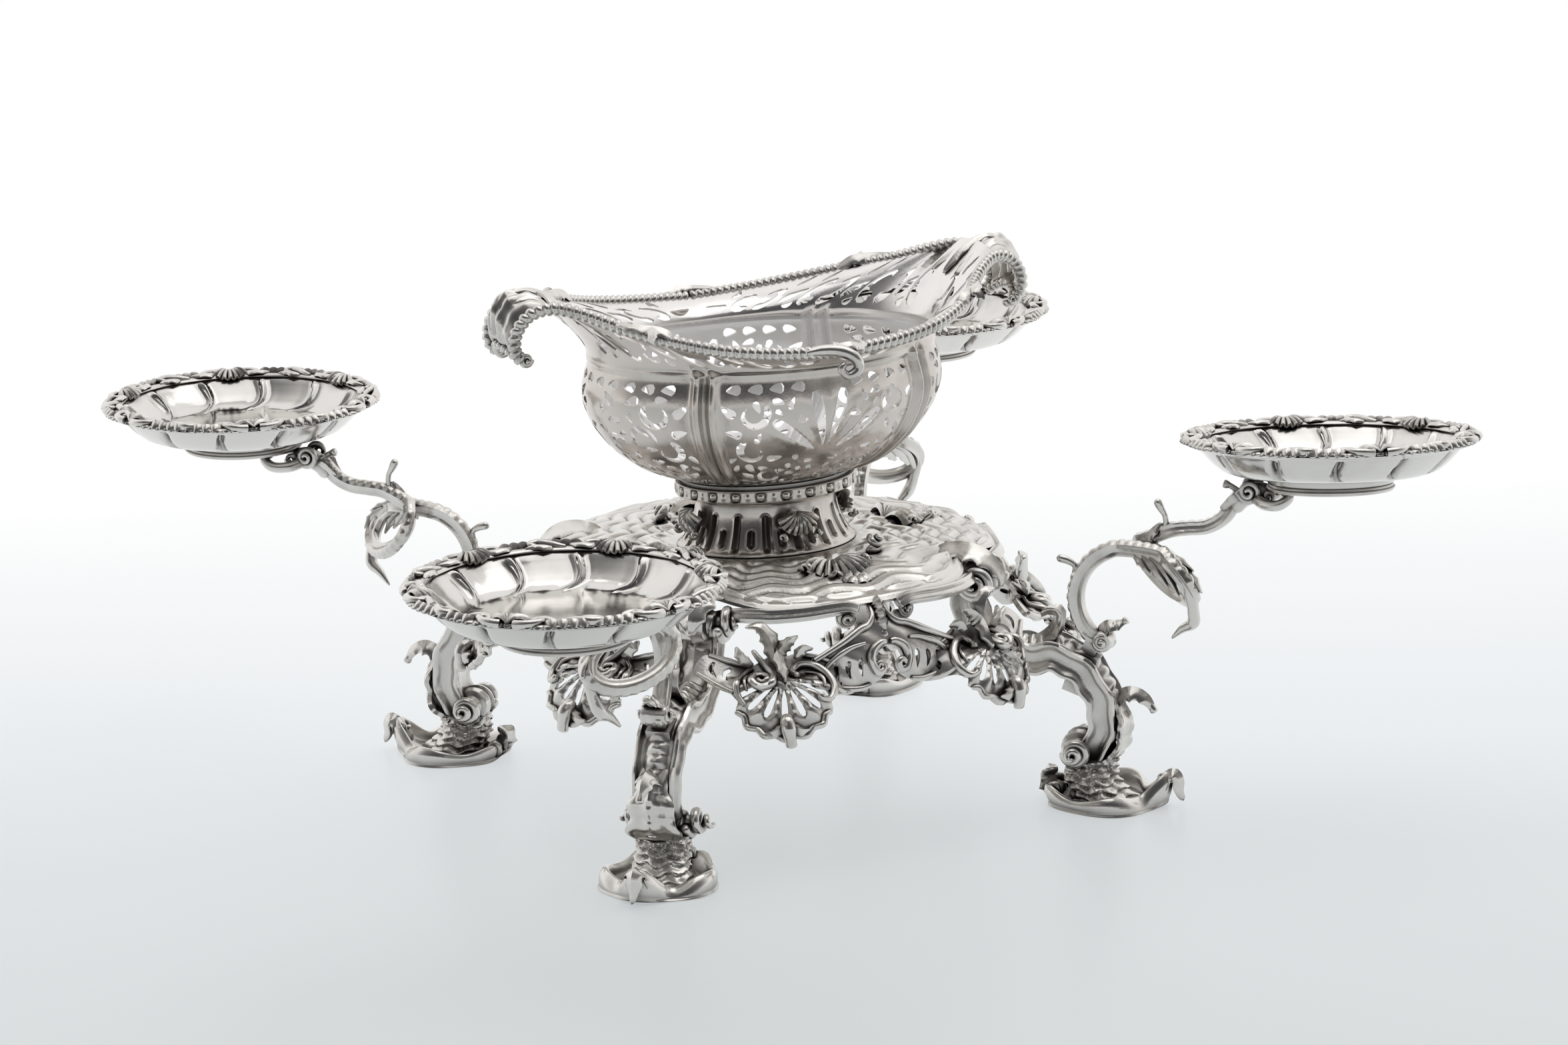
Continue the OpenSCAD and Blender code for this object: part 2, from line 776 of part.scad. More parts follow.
module branch(i) {
    near_steps = 15;
    far_steps = 14;
    near = curve(near_strand(), near_steps);
    beyond = curve(far_strand(i), far_steps);
    ring_z = ring_top(i) - ring_h / 2;
    foot_roll = on_scroll(246);
    color(silver)
        difference() {
            union() {
                sweep(near, taper(near_steps, strand, strand * 0.88), round_section(5), [0, 0, 1]);
                sweep(beyond, taper(far_steps, strand * 0.88, strand * 0.8), round_section(5), [0, 1, 0]);
                roll(foot_roll + [3, 0, 2], 6, 16, 0.7);
                // Leaves: at the roll, behind the C scroll, at the loop's foot and at its top
                leaf([
                    foot_roll + [3, 0, 6], foot_roll + [9, 0, 10],
                    foot_roll + [16, 0, 10], foot_roll + [20, 0, 14]
                ], 10, 4);
                leaf([
                    on_scroll(185), on_scroll(160) + [-5, 0, 1], on_scroll(150) + [-9, 0, 6],
                    on_scroll(148) + [-15, 0, 9]
                ], 7, 4);
                leaf([
                    on_loop(-50), on_loop(-78), on_loop(-90) + [-3, 0, -6], on_loop(-90) + [-6, 0, -13]
                ], 8, 6);
                leaf([
                    [loop_s - 8, 0, loop_top_z], [loop_s - 1, 0, loop_top_z + 10],
                    [loop_s - 4, 0, loop_top_z + 18], [loop_s - 6, 0, loop_top_z + 25]
                ], 7, 5);
                // Scroll block and the two prongs that carry the ring
                bead([block_s, -4, ring_z - 3], [block_s, 4, ring_z - 3], 4.6, 4.6, 5);
                for (way = [-1, 1])
                    sweep(
                        curve([
                            [block_s, way * 3, ring_z - 3], [block_s + 3, way * 11, ring_z - 1.5],
                            [block_s + 11, way * 15, ring_z], [block_s + 20, way * 13, ring_z]
                        ], 3),
                        taper(3, 2.6, 1.9), round_section(4), [0, 0, 1]
                    );
            }
            along_tenon()
                translate([0, 0, -tenon_depth])
                    linear_extrude(tenon_depth + tenon_show + tenon_in + solder)
                        square(tenon_w + 2 * solder, center = true);
            translate([dish_s, 0, ring_top(i) - ring_h - 1])
                cylinder(r = ring_r + ring_w / 2 + solder, h = ring_h + 2);
            translate([dish_s, 0, ring_top(i) - fit_gap])
                cylinder(r = dish_r, h = far);
        }
}

module dish_ring(i) {
    color(silver)
        translate([dish_s, 0, ring_top(i)])
            rotate_extrude()
                polygon([
                    [ring_r - ring_w / 2, 0], [ring_r - ring_w / 2, -ring_h],
                    [ring_r + ring_w / 2 - 1, -ring_h], [ring_r + ring_w / 2, -ring_h + 1.2],
                    [ring_r + ring_w / 2, -1], [ring_r + ring_w / 2 - 1, 0]
                ]);
}

// Dishes

module dish(i) {
    wall_top_r = dish_r - border_w + 1;
    foot_out = ring_r - ring_w / 2 - fit_gap;
    foot_in = foot_out - 2.5;
    foot_drop = ring_h * 0.7;
    outside = [
        [dish_floor_r, 0], [dish_floor_r + 9, 2],
        [wall_top_r - 5, dish_h * 0.5], [wall_top_r, dish_h - dish_wall]
    ];
    inside = [for (q = outside) [q.x - dish_wall * 0.8, q.y + dish_wall]];
    color(silver)
        translate([dish_s, 0, ring_top(i)])
            rotate_extrude($fn = 96)
                polygon(concat(
                    [[0, 0], [foot_in, 0], [foot_in, -foot_drop], [foot_out, -foot_drop], [foot_out, 0]],
                    curve(outside, 8),
                    [[dish_r - 2.5, dish_h - dish_wall], [dish_r - 2.5, dish_h]],
                    [for (k = [8:-1:0]) curve(inside, 8)[k]],
                    [[0, dish_wall]]
                ));
}

// Cast border: a ring with a lobed edge, soldered on the dish's flange
module dish_border(i) {
    steps = 8 * border_lobes;
    edge = [
        for (k = [0:steps - 1])
            let (angle = 360 * k / steps, lobe = abs(sin(border_lobes * angle / 2)))
            (dish_r - 2 + 2 * lobe) * [cos(angle), sin(angle)]
    ];
    color(silver)
        translate([dish_s, 0, ring_top(i) + dish_h])
            linear_extrude(border_t)
                difference() {
                    polygon(edge);
                    circle(dish_r - border_w + 1.2);
                }
}

// Basket

// Oval collar with the basket's floor across its top
module basket_collar() {
    ring = 4;
    color(silver)
        translate([0, 0, gallery_floor])
            difference() {
                linear_extrude(collar_h) polygon(ellipse(collar_a, collar_b));
                translate([0, 0, -basket_wall])
                    linear_extrude(collar_h) polygon(ellipse(collar_a - ring, collar_b - ring));
            }
}

// Outline of the bowl: share of the greatest half length and share of the height
bowl_profile = [
    [(collar_a - 1.5) / basket_a, 0], [0.7, 0.13], [0.88, 0.34], [0.975, 0.56], [1, 0.76], [0.955, 1]
];
bowl_rows = 8;
band_rows = 3;
sheet_rows = bowl_rows + band_rows;
// Gap left between the sheet's edge and the rim soldered to it
rim_seam = 0.7;
// Turn of each double rib from the long axis, and how far it stands out
rib_at = 50;
rib_out = 2.4;

// Rim from the middle of the front to the end of the lip, for one quarter
rim_route = [
    [0, -basket_b - 12, neck_z + 12],
    [basket_a * 0.36, -basket_b - 9, neck_z + 14.5],
    [basket_a * 0.66, -basket_b, neck_z + 19],
    [basket_a * 0.925, -basket_b * 0.76, neck_z + 26.5],
    [mix(basket_a, lip_reach, 0.1), -basket_b * 0.56, neck_z + 31.5],
    [mix(basket_a, lip_reach, 0.33), -basket_b * 0.4, neck_z + 37],
    [mix(basket_a, lip_reach, 0.55), -basket_b * 0.29, neck_z + 40],
    [mix(basket_a, lip_reach, 0.75), -basket_b * 0.24, neck_z + 37],
    [mix(basket_a, lip_reach, 0.88), -basket_b * 0.22, neck_z + 28],
    [mix(basket_a, lip_reach, 0.9), -basket_b * 0.21, neck_z + 18],
    [mix(basket_a, lip_reach, 0.82), -basket_b * 0.2, neck_z + 11]
];
lip_start = 6;
rim_end = len(rim_route) - 1;
// Middle of the lip along the basket's long axis, from the sheet's edge over and down
lip_middle = [
    [mix(basket_a, lip_reach, 0.58), 0, neck_z + 46],
    [mix(basket_a, lip_reach, 0.8), 0, neck_z + 47.5],
    [mix(basket_a, lip_reach, 0.96), 0, neck_z + 40],
    [lip_reach, 0, neck_z + 26],
    [lip_reach - 6, 0, neck_z + 19]
];
// Line that the sheet's edge follows, from the middle of the front to the middle of the lip
sheet_route = concat(
    [for (k = [0:lip_start]) rim_route[k]],
    [mix(rim_route[lip_start], lip_middle[0], 0.5) + [0, 0, 2], lip_middle[0]]
);

// Edge of the sheet at a turn from the long axis, held back from the rim towards the neck below it
function sheet_edge(turn, neck) =
    let (
        last = len(sheet_route) - 1,
        u = last * pow((90 - turn) / 90, 0.86),
        near = 0.05,
        p = through(sheet_route, u),
        along = unit(through(sheet_route, min(u + near, last)) - through(sheet_route, max(u - near, 0))),
        q = p + squared(along, [abs(neck.x), -abs(neck.y), neck.z] - p) * (rim_d / 2 + rim_seam)
    )
    [neck.x < 0 ? -q.x : q.x, neck.y > 0 ? -q.y : q.y, q.z];

// Columns of the sheet, set out from the middle of each pierced fan to the rib beside it
half_rays = (fan_rays - 1) / 2;
ray_pitch = 0.6 / half_rays;
ray_half = ray_pitch / 4;
flute_share = 0.915;
shares = concat(
    [ray_half],
    [for (k = [1:half_rays]) each [k * ray_pitch - ray_half, k * ray_pitch + ray_half]],
    [0.8, flute_share, 1]
);
rib_column = len(shares) - 1;
// Each column: fan, side of the fan and place in shares
sheet_columns = [
    for (fan = [0:3]) each concat(
        [for (k = [rib_column - 1:-1:0]) [fan, -1, k]],
        [for (k = [0:rib_column]) [fan, 1, k]]
    )
];

// Turn of a column at a row; the rays draw together towards the collar
function column_turn(column, row) =
    let (
        half = column[0] % 2 == 0 ? rib_at : 90 - rib_at,
        u = shares[column[2]],
        gather = 0.42 * max(1 - row / 6, 0) * (1 - u)
    )
    90 * column[0] + column[1] * half * u * (1 - gather);

// Place of the cell to the right of column j: fan and number from the fan's middle, which is -1
function cell_at(j) =
    let (c = sheet_columns[j], d = sheet_columns[(j + 1) % len(sheet_columns)])
    c[1] < 0 && d[1] > 0 ? [c[0], -1] : d[1] < 0 ? [d[0], d[2]] : [c[0], c[2]];

// Piercings of half a fan as cells and rows from first to last
function ray_top(k) = bowl_rows - 2 - max(k - 1, 0);
scroll_cell = 2 * half_rays + 1;
bowl_piercings = concat(
    [for (k = [0:half_rays]) [k == 0 ? -1 : 2 * k - 1, k == 0 ? -1 : 2 * k - 1, 3, ray_top(k)]],
    [for (k = [2:half_rays]) [2 * k - 1, 2 * k - 1, ray_top(k) + 2, bowl_rows - 1]],
    [[2, 2 * half_rays - 2, 1, 1], [scroll_cell, scroll_cell, 1, 2], [scroll_cell, scroll_cell, 4, 6]]
);
band_piercings = [
    for (k = [0:floor(2 * half_rays / 3)]) [3 * k, 3 * k + 1, bowl_rows + 1, bowl_rows + 1]
];

function is_pierced(row, j) =
    let (
        cell = cell_at(j),
        list = cell[0] % 2 == 1 ? concat(bowl_piercings, band_piercings) : bowl_piercings
    )
    len([for (q = list) if (cell[1] >= q[0] && cell[1] <= q[1] && row >= q[2] && row <= q[3]) q]) > 0;

// Outer face of the basket: the bowl's rows, then the flared band's
function basket_point(row, column) =
    let (
        share = through(bowl_profile, min(row / bowl_rows, 1) * (len(bowl_profile) - 1)),
        turn = column_turn(column, row),
        raised = column[2] == rib_column - 1 && row > 0 && row <= bowl_rows ? rib_out : 0,
        x = (basket_a * share[0] + raised) * cos(turn),
        y = (basket_b * share[0] + raised) * sin(turn),
        bowl = [x, y, bowl_z + bowl_h * share[1]],
        u = (row - bowl_rows) / band_rows,
        edge = sheet_edge(asin(abs(sin(turn))), bowl),
        out = pow(u, 1.5)
    )
    row <= bowl_rows ? bowl : [mix(bowl.x, edge.x, out), mix(bowl.y, edge.y, out), mix(bowl.z, edge.z, u)];

module basket_bowl() {
    outer = [for (row = [0:sheet_rows]) [for (column = sheet_columns) basket_point(row, column)]];
    grid = inside_of(outer, basket_wall, true);
    // The foot of the sheet is cut level on the collar
    inner = concat([[for (q = grid[0]) [q.x, q.y, bowl_z]]], [for (row = [1:sheet_rows]) grid[row]]);
    color(silver) sheet(outer, inner, true, function(row, j) is_pierced(row, j));
}

// Rolled lip at each end, spread between the two rims that run down its sides
module lip() {
    steps = 7;
    across = 4;
    // The rim narrows towards its end, which leaves the seam beside the lip
    inset = rim_d / 2;
    start = 0.5;
    function side(k) =
        through(rim_route, mix(lip_start, rim_end, k / steps)) + [0, inset, 0];
    function middle(k) = through(lip_middle, (len(lip_middle) - 1) * k / steps);
    top = [
        for (k = [steps:-1:0]) [
            for (j = [0:across])
                let (u = 2 * j / across - 1, edge = side(k), arch = 1 - u * u)
                [mix(edge.x, middle(k).x, arch) + start, -edge.y * u, mix(edge.z, middle(k).z, arch)]
        ]
    ];
    sheet(top, inside_of(top, basket_wall, false));
}

module basket_lips() {
    color(silver)
        for (end = [0, 180]) rotate(end) lip();
}

module rim_quarter(grow = 0) {
    steps = 12;
    narrowing = 0.15;
    sizes = [for (k = [0:steps]) [1, 1] * (rim_d / 2 * (1 - narrowing * k / steps) + grow)];
    sweep(curve(rim_route, steps), sizes, round_section(5), [0, 0, 1]);
}

module rim_tubes(grow = 0) {
    for (end = [0, 1], side = [0, 1])
        mirror([end, 0, 0]) mirror([0, side, 0]) rim_quarter(grow);
}

module knops(grow = 0) {
    at = rim_route[3];
    for (end = [0, 1], side = [0, 1])
        mirror([end, 0, 0])
            mirror([0, side, 0])
                bead(at + [-3.5, -3.5, 1.5], at + [4.5, 2, 3], rim_d * 0.62 + grow, rim_d * 0.55 + grow, 5);
}

// Scroll that breaks forward from the middle of each long side
module hooks(grow = 0) {
    from = rim_route[0];
    points = [
        from + [-13, -1, 1], from + [-4, -6, 1], from + [4, -11, -2],
        from + [5, -12, -8], from + [-2, -11, -9]
    ];
    thin = 0.25;
    for (turn = [0, 180])
        rotate(turn)
            for (k = [1:len(points) - 1])
                bead(points[k - 1], points[k], 3.6 - thin * k + grow, 3.4 - thin * k + grow, 4);
}

module basket_rim() {
    color(silver)
        difference() {
            rim_tubes();
            knops(solder);
            hooks(solder);
        }
}

module basket_knops() {
    color(silver) knops();
}

module basket_hooks() {
    color(silver) hooks();
}

// Drawing

platform();
spool();
gallery();
basket_collar();
basket_bowl();
basket_lips();
basket_rim();
basket_knops();
basket_hooks();
for (i = [0:3]) {
    rotate(side_angle(i)) rail();
    rotate(side_angle(i)) apron();
    wave_shell(i);
    spool_shell(i);
    rotate(corner_angle(i)) foot();
    rotate(corner_angle(i)) leg();
    rotate(corner_angle(i)) socket();
    rotate(corner_angle(i)) tenon();
    rotate(corner_angle(i)) branch(i);
    rotate(corner_angle(i)) dish_ring(i);
    rotate(corner_angle(i)) dish(i);
    rotate(corner_angle(i)) dish_border(i);
}
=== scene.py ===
# %% [markdown]
# # A silver epergne, dressed piece by piece
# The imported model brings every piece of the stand, branches, dishes and basket at its
# real size. This lesson gives them the surface of old polished silver, and models the
# cast and pierced pieces that a lathe or a plain extrusion can't show.

# %% Load the frame
import math

import bmesh
import bpy
import numpy as np
from mathutils import Matrix, Vector


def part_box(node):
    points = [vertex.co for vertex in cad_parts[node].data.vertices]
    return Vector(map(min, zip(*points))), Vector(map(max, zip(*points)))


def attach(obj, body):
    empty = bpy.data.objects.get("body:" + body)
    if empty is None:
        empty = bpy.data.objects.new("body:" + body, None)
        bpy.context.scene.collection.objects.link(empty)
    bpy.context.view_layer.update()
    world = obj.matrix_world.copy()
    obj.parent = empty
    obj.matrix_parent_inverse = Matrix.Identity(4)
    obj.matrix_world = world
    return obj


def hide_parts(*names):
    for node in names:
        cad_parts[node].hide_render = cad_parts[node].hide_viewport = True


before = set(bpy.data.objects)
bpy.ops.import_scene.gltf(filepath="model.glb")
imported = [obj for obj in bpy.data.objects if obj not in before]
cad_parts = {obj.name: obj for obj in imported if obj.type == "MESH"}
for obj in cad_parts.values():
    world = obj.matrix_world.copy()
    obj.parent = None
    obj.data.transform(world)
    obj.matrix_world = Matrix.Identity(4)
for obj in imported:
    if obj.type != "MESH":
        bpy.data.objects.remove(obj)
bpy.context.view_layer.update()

MM = 0.001
TAU = 2 * math.pi
CORNERS = {"front_left": 225, "front_right": 315, "back_right": 45, "back_left": 135}
SIDES = {"front": 0, "right": 90, "back": 180, "left": 270}
print("nodes in the frame:", len(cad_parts))

# %% [markdown]
# ## Curves and sheets
# A silversmith raises a flat sheet over stakes, or pours a bar along a bent pattern.
# Both have a helper here: `raised` draws a flat grid into shape by a rule, and `swept`
# runs an outline along a smooth line through a few points. Pulling vertices by hand or a
# curve's bevel could give the plain forms, but a rule also carries the chasing on them.

# %% Helpers for curves
def through(points, place):
    """Points at the given places (0 at the first point, 1 at the second) on a smooth line."""
    p = np.asarray(points, float)
    place = np.clip(np.asarray(place, float), 0, len(p) - 1)
    i = np.minimum(place.astype(int), len(p) - 2)
    t = (place - i)[..., None]
    a, b, c, d = p[np.maximum(i - 1, 0)], p[i], p[i + 1], p[np.minimum(i + 2, len(p) - 1)]
    return (2 * b + (c - a) * t + (2 * a - 5 * b + 4 * c - d) * t**2
            + (3 * b - a - 3 * c + d) * t**3) / 2


def distance_along(line):
    return np.concatenate([[0], np.cumsum(np.linalg.norm(np.diff(line, axis=0), axis=1))])


def even(points, count):
    """count points at even steps along the smooth line."""
    line = through(points, np.linspace(0, len(points) - 1, 24 * len(points)))
    run = distance_along(line)
    steps = np.linspace(0, run[-1], count)
    return np.stack([np.interp(steps, run, axis) for axis in line.T], axis=1)


def frames(line, out):
    """Two directions square to the line at each point, carried along with least turning."""
    along = np.gradient(line, axis=0)
    along /= np.linalg.norm(along, axis=1)[:, None]
    normal, normals = np.array(out, float), []
    for t in along:
        normal = normal - t * (normal @ t)
        normal = normal / np.linalg.norm(normal)
        normals.append(normal)
    normals = np.array(normals)
    return normals, np.cross(along, normals)


def rounded(share, reach=0.03):
    """1 along a bar and falling to 0 at both ends, as a round end does."""
    inside = unit(np.minimum(share, 1 - share) / reach)
    return np.sqrt(1 - (1 - inside) ** 2)


def hump(distance, width):
    return np.exp(-((distance / width) ** 2))


def unit(value):
    return np.clip(value, 0, 1)


def polar(r, angle, z):
    return np.stack([r * np.cos(angle), r * np.sin(angle), z], 1)


def near(point, *offsets):
    """Places given by their distances from a point."""
    return [point + offset for offset in offsets]


def upright(*points, z=0):
    """Places in the upright plane of the diagonal, as distance out and height above z."""
    return [(out, 0, z + height) for out, height in points]


def crossbar(at, half):
    """Three places on a line across the diagonal."""
    return [np.array(at) + (0, y, 0) for y in (-half, 0, half)]


# %% Helpers for meshes
def pick(piece):
    bpy.ops.object.select_all(action="DESELECT")
    piece.select_set(True)
    bpy.context.view_layer.objects.active = piece


def merge(piece, distance=0.02 * MM):
    """Closes the seams and points of a grid, and turns its faces outwards."""
    pick(piece)
    bpy.ops.object.mode_set(mode="EDIT")
    bpy.ops.mesh.select_all(action="SELECT")
    bpy.ops.mesh.remove_doubles(threshold=distance)
    bpy.ops.mesh.normals_make_consistent(inside=False)
    bpy.ops.object.mode_set(mode="OBJECT")


def places(piece):
    flat = np.empty(len(piece.data.vertices) * 3)
    piece.data.vertices.foreach_get("co", flat)
    return flat.reshape(-1, 3)


def place(piece, points):
    piece.data.vertices.foreach_set("co", np.asarray(points, float).ravel())
    piece.data.update()


def raised(name, columns, rows, form):
    """A flat grid drawn into shape by form(u, v), which gives millimetres."""
    bpy.ops.object.select_all(action="DESELECT")
    bpy.ops.mesh.primitive_grid_add(x_subdivisions=columns, y_subdivisions=rows, size=2)
    piece = bpy.context.object
    piece.name = name
    u, v = (places(piece)[:, :2].T + 1) / 2
    place(piece, form(u, v) * MM)
    merge(piece)
    return piece


def swept(name, points, section, sides=20, rings=60, out=(0, 0, 1)):
    """A bar along a smooth line; section(angle, share) gives its outline in millimetres."""
    line = even(points, rings + 1)
    normal, across = frames(line, out)

    def form(u, v):
        k = np.rint(v * rings).astype(int)
        x, y = section(TAU * u, v)
        return line[k] + normal[k] * x[:, None] + across[k] * y[:, None]

    return raised(name, sides, rings, form)


def bar(*radii, reach=0.03):
    """Round section that takes these radii at even steps, with round ends."""
    stops = np.linspace(0, 1, len(radii))

    def section(angle, share):
        r = np.interp(share, stops, radii) * rounded(share, reach)
        return r * np.cos(angle), r * np.sin(angle)

    return section


def modified(piece, kind, **settings):
    """Adds a modifier with these settings and applies it."""
    pick(piece)
    added = piece.modifiers.new(kind.title(), kind)
    for key, value in settings.items():
        setattr(added, key, value)
    bpy.ops.object.modifier_apply(modifier=added.name)
    return piece


def joined(name, pieces):
    pick(pieces[0])
    for piece in pieces[1:]:
        piece.select_set(True)
    bpy.ops.object.join()
    pieces[0].name = name
    return pieces[0]


def copied(piece, name, turn):
    """A copy with its own mesh, moved by a matrix; a mirrored one is turned right side out."""
    twin = piece.copy()
    twin.data = piece.data.copy()
    bpy.context.collection.objects.link(twin)
    twin.name = name
    twin.data.transform(turn)
    if turn.determinant() < 0:
        twin.data.flip_normals()
    return twin


def about_z(degrees):
    return Matrix.Rotation(math.radians(degrees), 4, "Z")


# %% [markdown]
# ## Old polished silver
# Silver is bright where hands and cloths reach it, and nearly black where they don't.
# Ambient occlusion measures how closed in a spot is, so it tells where tarnish stays, and
# nothing has to be painted by hand. A slow noise clouds the colour, and a fine one breaks up
# the gloss. All three finishes use the same node group. The basket's inside is marked on its
# faces and given painted light: a near-white, less metallic colour that makes it look brightly lit.

# %% Tarnish as a node group
def remap(tree, value, low, high, to_low=0.0, to_high=1.0):
    """Sends a value from one range to another, and gives the result's socket."""
    node = tree.nodes.new("ShaderNodeMapRange")
    limits = {"From Min": low, "From Max": high, "To Min": to_low, "To Max": to_high}
    for key, limit in limits.items():
        node.inputs[key].default_value = limit
    tree.links.new(value, node.inputs["Value"])
    return node.outputs["Result"]


def tarnish_group():
    group = bpy.data.node_groups.new("Tarnish", "ShaderNodeTree")
    sockets = group.interface
    for name, value in (("Depth", 0.006), ("Amount", 1.0), ("Clouds", 0.35), ("Gloss", 0.12)):
        sockets.new_socket(name, in_out="INPUT", socket_type="NodeSocketFloat").default_value = value
    sockets.new_socket("Polish", in_out="INPUT", socket_type="NodeSocketColor")
    outputs = {"Color": "NodeSocketColor", "Roughness": "NodeSocketFloat", "Height": "NodeSocketFloat"}
    for name, kind in outputs.items():
        sockets.new_socket(name, in_out="OUTPUT", socket_type=kind)
    nodes, link = group.nodes, group.links.new
    inside, outside = nodes.new("NodeGroupInput"), nodes.new("NodeGroupOutput")
    where = nodes.new("ShaderNodeTexCoord")

    def noise(scale, detail):
        node = nodes.new("ShaderNodeTexNoise")
        node.inputs["Scale"].default_value = scale
        node.inputs["Detail"].default_value = detail
        link(where.outputs["Object"], node.inputs["Vector"])
        return node.outputs["Fac"]

    def math_node(operation, a, b, clamp=False):
        node = nodes.new("ShaderNodeMath")
        node.operation, node.use_clamp = operation, clamp
        for socket, value in zip(node.inputs, (a, b)):
            if isinstance(value, (int, float)):
                socket.default_value = value
            else:
                link(value, socket)
        return node.outputs[0]

    closed = nodes.new("ShaderNodeAmbientOcclusion")
    closed.samples = 8
    link(inside.outputs["Depth"], closed.inputs["Distance"])
    hidden = math_node("SUBTRACT", 1.0, closed.outputs["AO"])
    hidden = math_node("MULTIPLY", math_node("POWER", hidden, 1.3), inside.outputs["Amount"], True)
    clouds = math_node("SUBTRACT", noise(34, 5), 0.52)
    clouds = math_node("MULTIPLY", math_node("MULTIPLY", clouds, 2.2, True), inside.outputs["Clouds"])
    dark = math_node("ADD", hidden, clouds, True)
    colour = nodes.new("ShaderNodeMix")
    colour.data_type = "RGBA"
    link(inside.outputs["Polish"], colour.inputs["A"])
    colour.inputs["B"].default_value = (0.075, 0.066, 0.06, 1)
    link(dark, colour.inputs["Factor"])
    link(colour.outputs["Result"], outside.inputs["Color"])
    rough = math_node("ADD", inside.outputs["Gloss"], math_node("MULTIPLY", dark, 0.28))
    rough = math_node("ADD", rough, math_node("MULTIPLY", noise(420, 3), 0.08))
    link(rough, outside.inputs["Roughness"])
    height = math_node("ADD", noise(95, 3), math_node("MULTIPLY", noise(700, 2), 0.25))
    link(height, outside.inputs["Height"])
    return group


tarnish = tarnish_group()
print("tarnish nodes:", len(tarnish.nodes))

# %% A silver finish
def silver(name, polish, depth, amount, clouds, gloss, dents, inner=None):
    """Silver with dark recesses (depth in millimetres) and dents; inner is a painted-light colour for the
    marked faces, so that they look brightly lit.
    """
    finish = bpy.data.materials.new(name)
    finish.use_nodes = True
    nodes, link = finish.node_tree.nodes, finish.node_tree.links.new
    shader = nodes["Principled BSDF"]
    shader.inputs["Metallic"].default_value = 1.0
    tone = nodes.new("ShaderNodeGroup")
    tone.node_tree = tarnish
    for key, value in (("Depth", depth * MM), ("Amount", amount), ("Clouds", clouds), ("Gloss", gloss)):
        tone.inputs[key].default_value = value
    tone.inputs["Polish"].default_value = (*polish, 1)
    hammered = nodes.new("ShaderNodeBump")
    hammered.inputs["Strength"].default_value = dents
    hammered.inputs["Distance"].default_value = 0.002
    link(tone.outputs["Height"], hammered.inputs["Height"])
    link(tone.outputs["Color"], shader.inputs["Base Color"])
    # Painted light: faces marked inner take the near-white inner colour and less metal, so the basket's
    # inside looks brightly lit.
    if inner:
        mark, painted_inside_light = nodes.new("ShaderNodeAttribute"), nodes.new("ShaderNodeMix")
        mark.attribute_name, painted_inside_light.data_type = "inner", "RGBA"
        link(tone.outputs["Color"], painted_inside_light.inputs["A"])
        painted_inside_light.inputs["B"].default_value = (*inner, 1)
        link(mark.outputs["Fac"], painted_inside_light.inputs["Factor"])
        link(painted_inside_light.outputs["Result"], shader.inputs["Base Color"])
        link(remap(finish.node_tree, mark.outputs["Fac"], 0.6, 1.0, 1.0, 0.35), shader.inputs["Metallic"])
    link(tone.outputs["Roughness"], shader.inputs["Roughness"])
    link(hammered.outputs["Normal"], shader.inputs["Normal"])
    return finish


cast_silver = silver("cast_silver", (0.76, 0.735, 0.70), depth=10, amount=1.65, clouds=0.5, gloss=0.17,
                     dents=0.1)
# The sheet's inner colour is painted light: near white, so the inside of the basket looks brightly lit.
sheet_silver = silver("sheet_silver", (0.66, 0.615, 0.575), depth=7, amount=1.1, clouds=0.45, gloss=0.17,
                      dents=0.05, inner=(0.97, 0.96, 0.95))
dish_silver = silver("dish_silver", (0.76, 0.74, 0.71), depth=6, amount=1.7, clouds=0.2, gloss=0.1,
                     dents=0.03)
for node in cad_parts.values():
    node.data.materials.clear()
    node.data.materials.append(cast_silver)
print("finishes:", [m.name for m in (cast_silver, sheet_silver, dish_silver)])

# %% Set a finished piece on its body
def settle(piece, body, finish, *nodes, angle=40):
    """Gives a piece its finish and body, and lets it stand for CAD nodes."""
    piece.data.materials.clear()
    piece.data.materials.append(finish)
    pick(piece)
    bpy.ops.object.shade_smooth_by_angle(angle=math.radians(angle))
    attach(piece, body)
    if nodes:
        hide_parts(*nodes)


def set_round(turns, *patterns):
    """Sets copies of the stand's patterns at each turn, by name and node, and takes the patterns away."""
    for where, turn in turns.items():
        for pattern, name, node in patterns:
            settle(copied(pattern, name + where, about_z(turn)), "stand", cast_silver, node + where)
    for pattern, *_ in patterns:
        bpy.data.objects.remove(pattern)


# %% [markdown]
# ## Ornaments cast many times
# Leaves, scallop shells and scroll ends come back all over the stand. Each has a rule here:
# a leaf is a lobed sheet along a line, a shell is a ribbed fan, and a scroll end is a
# tapering bar wound inwards. They could be sculpted one by one, but casts from one pattern
# look alike, and a rule with a few sizes keeps them so.

# %% Leaf, shell and scroll end
def leaf(name, points, width, lobes=4, cup=0.3, thick=1.6, out=(0, 0, 1), sides=20, steps=26):
    """An acanthus leaf along a line: a thin closed section with a vein, lobed edges and two points."""
    line = even(points, steps + 1)
    normal, across = frames(line, out)

    def form(u, v):
        k = np.rint(v * steps).astype(int)
        side, top = np.cos(TAU * u), np.sin(TAU * u)
        lobed = 1 - 0.28 * np.abs(np.sin(lobes * math.pi * v)) * np.abs(side)
        edge = np.sin(math.pi * v ** 0.7) ** 0.6 * lobed
        crown = 0.1 * hump(side, 0.16) * (top > 0) - cup * side ** 2
        lift = width * edge * crown + 0.6 * thick * top * rounded(v, 0.12)
        return line[k] + normal[k] * lift[:, None] + across[k] * (width / 2 * edge * side)[:, None]

    return raised(name, sides, steps, form)


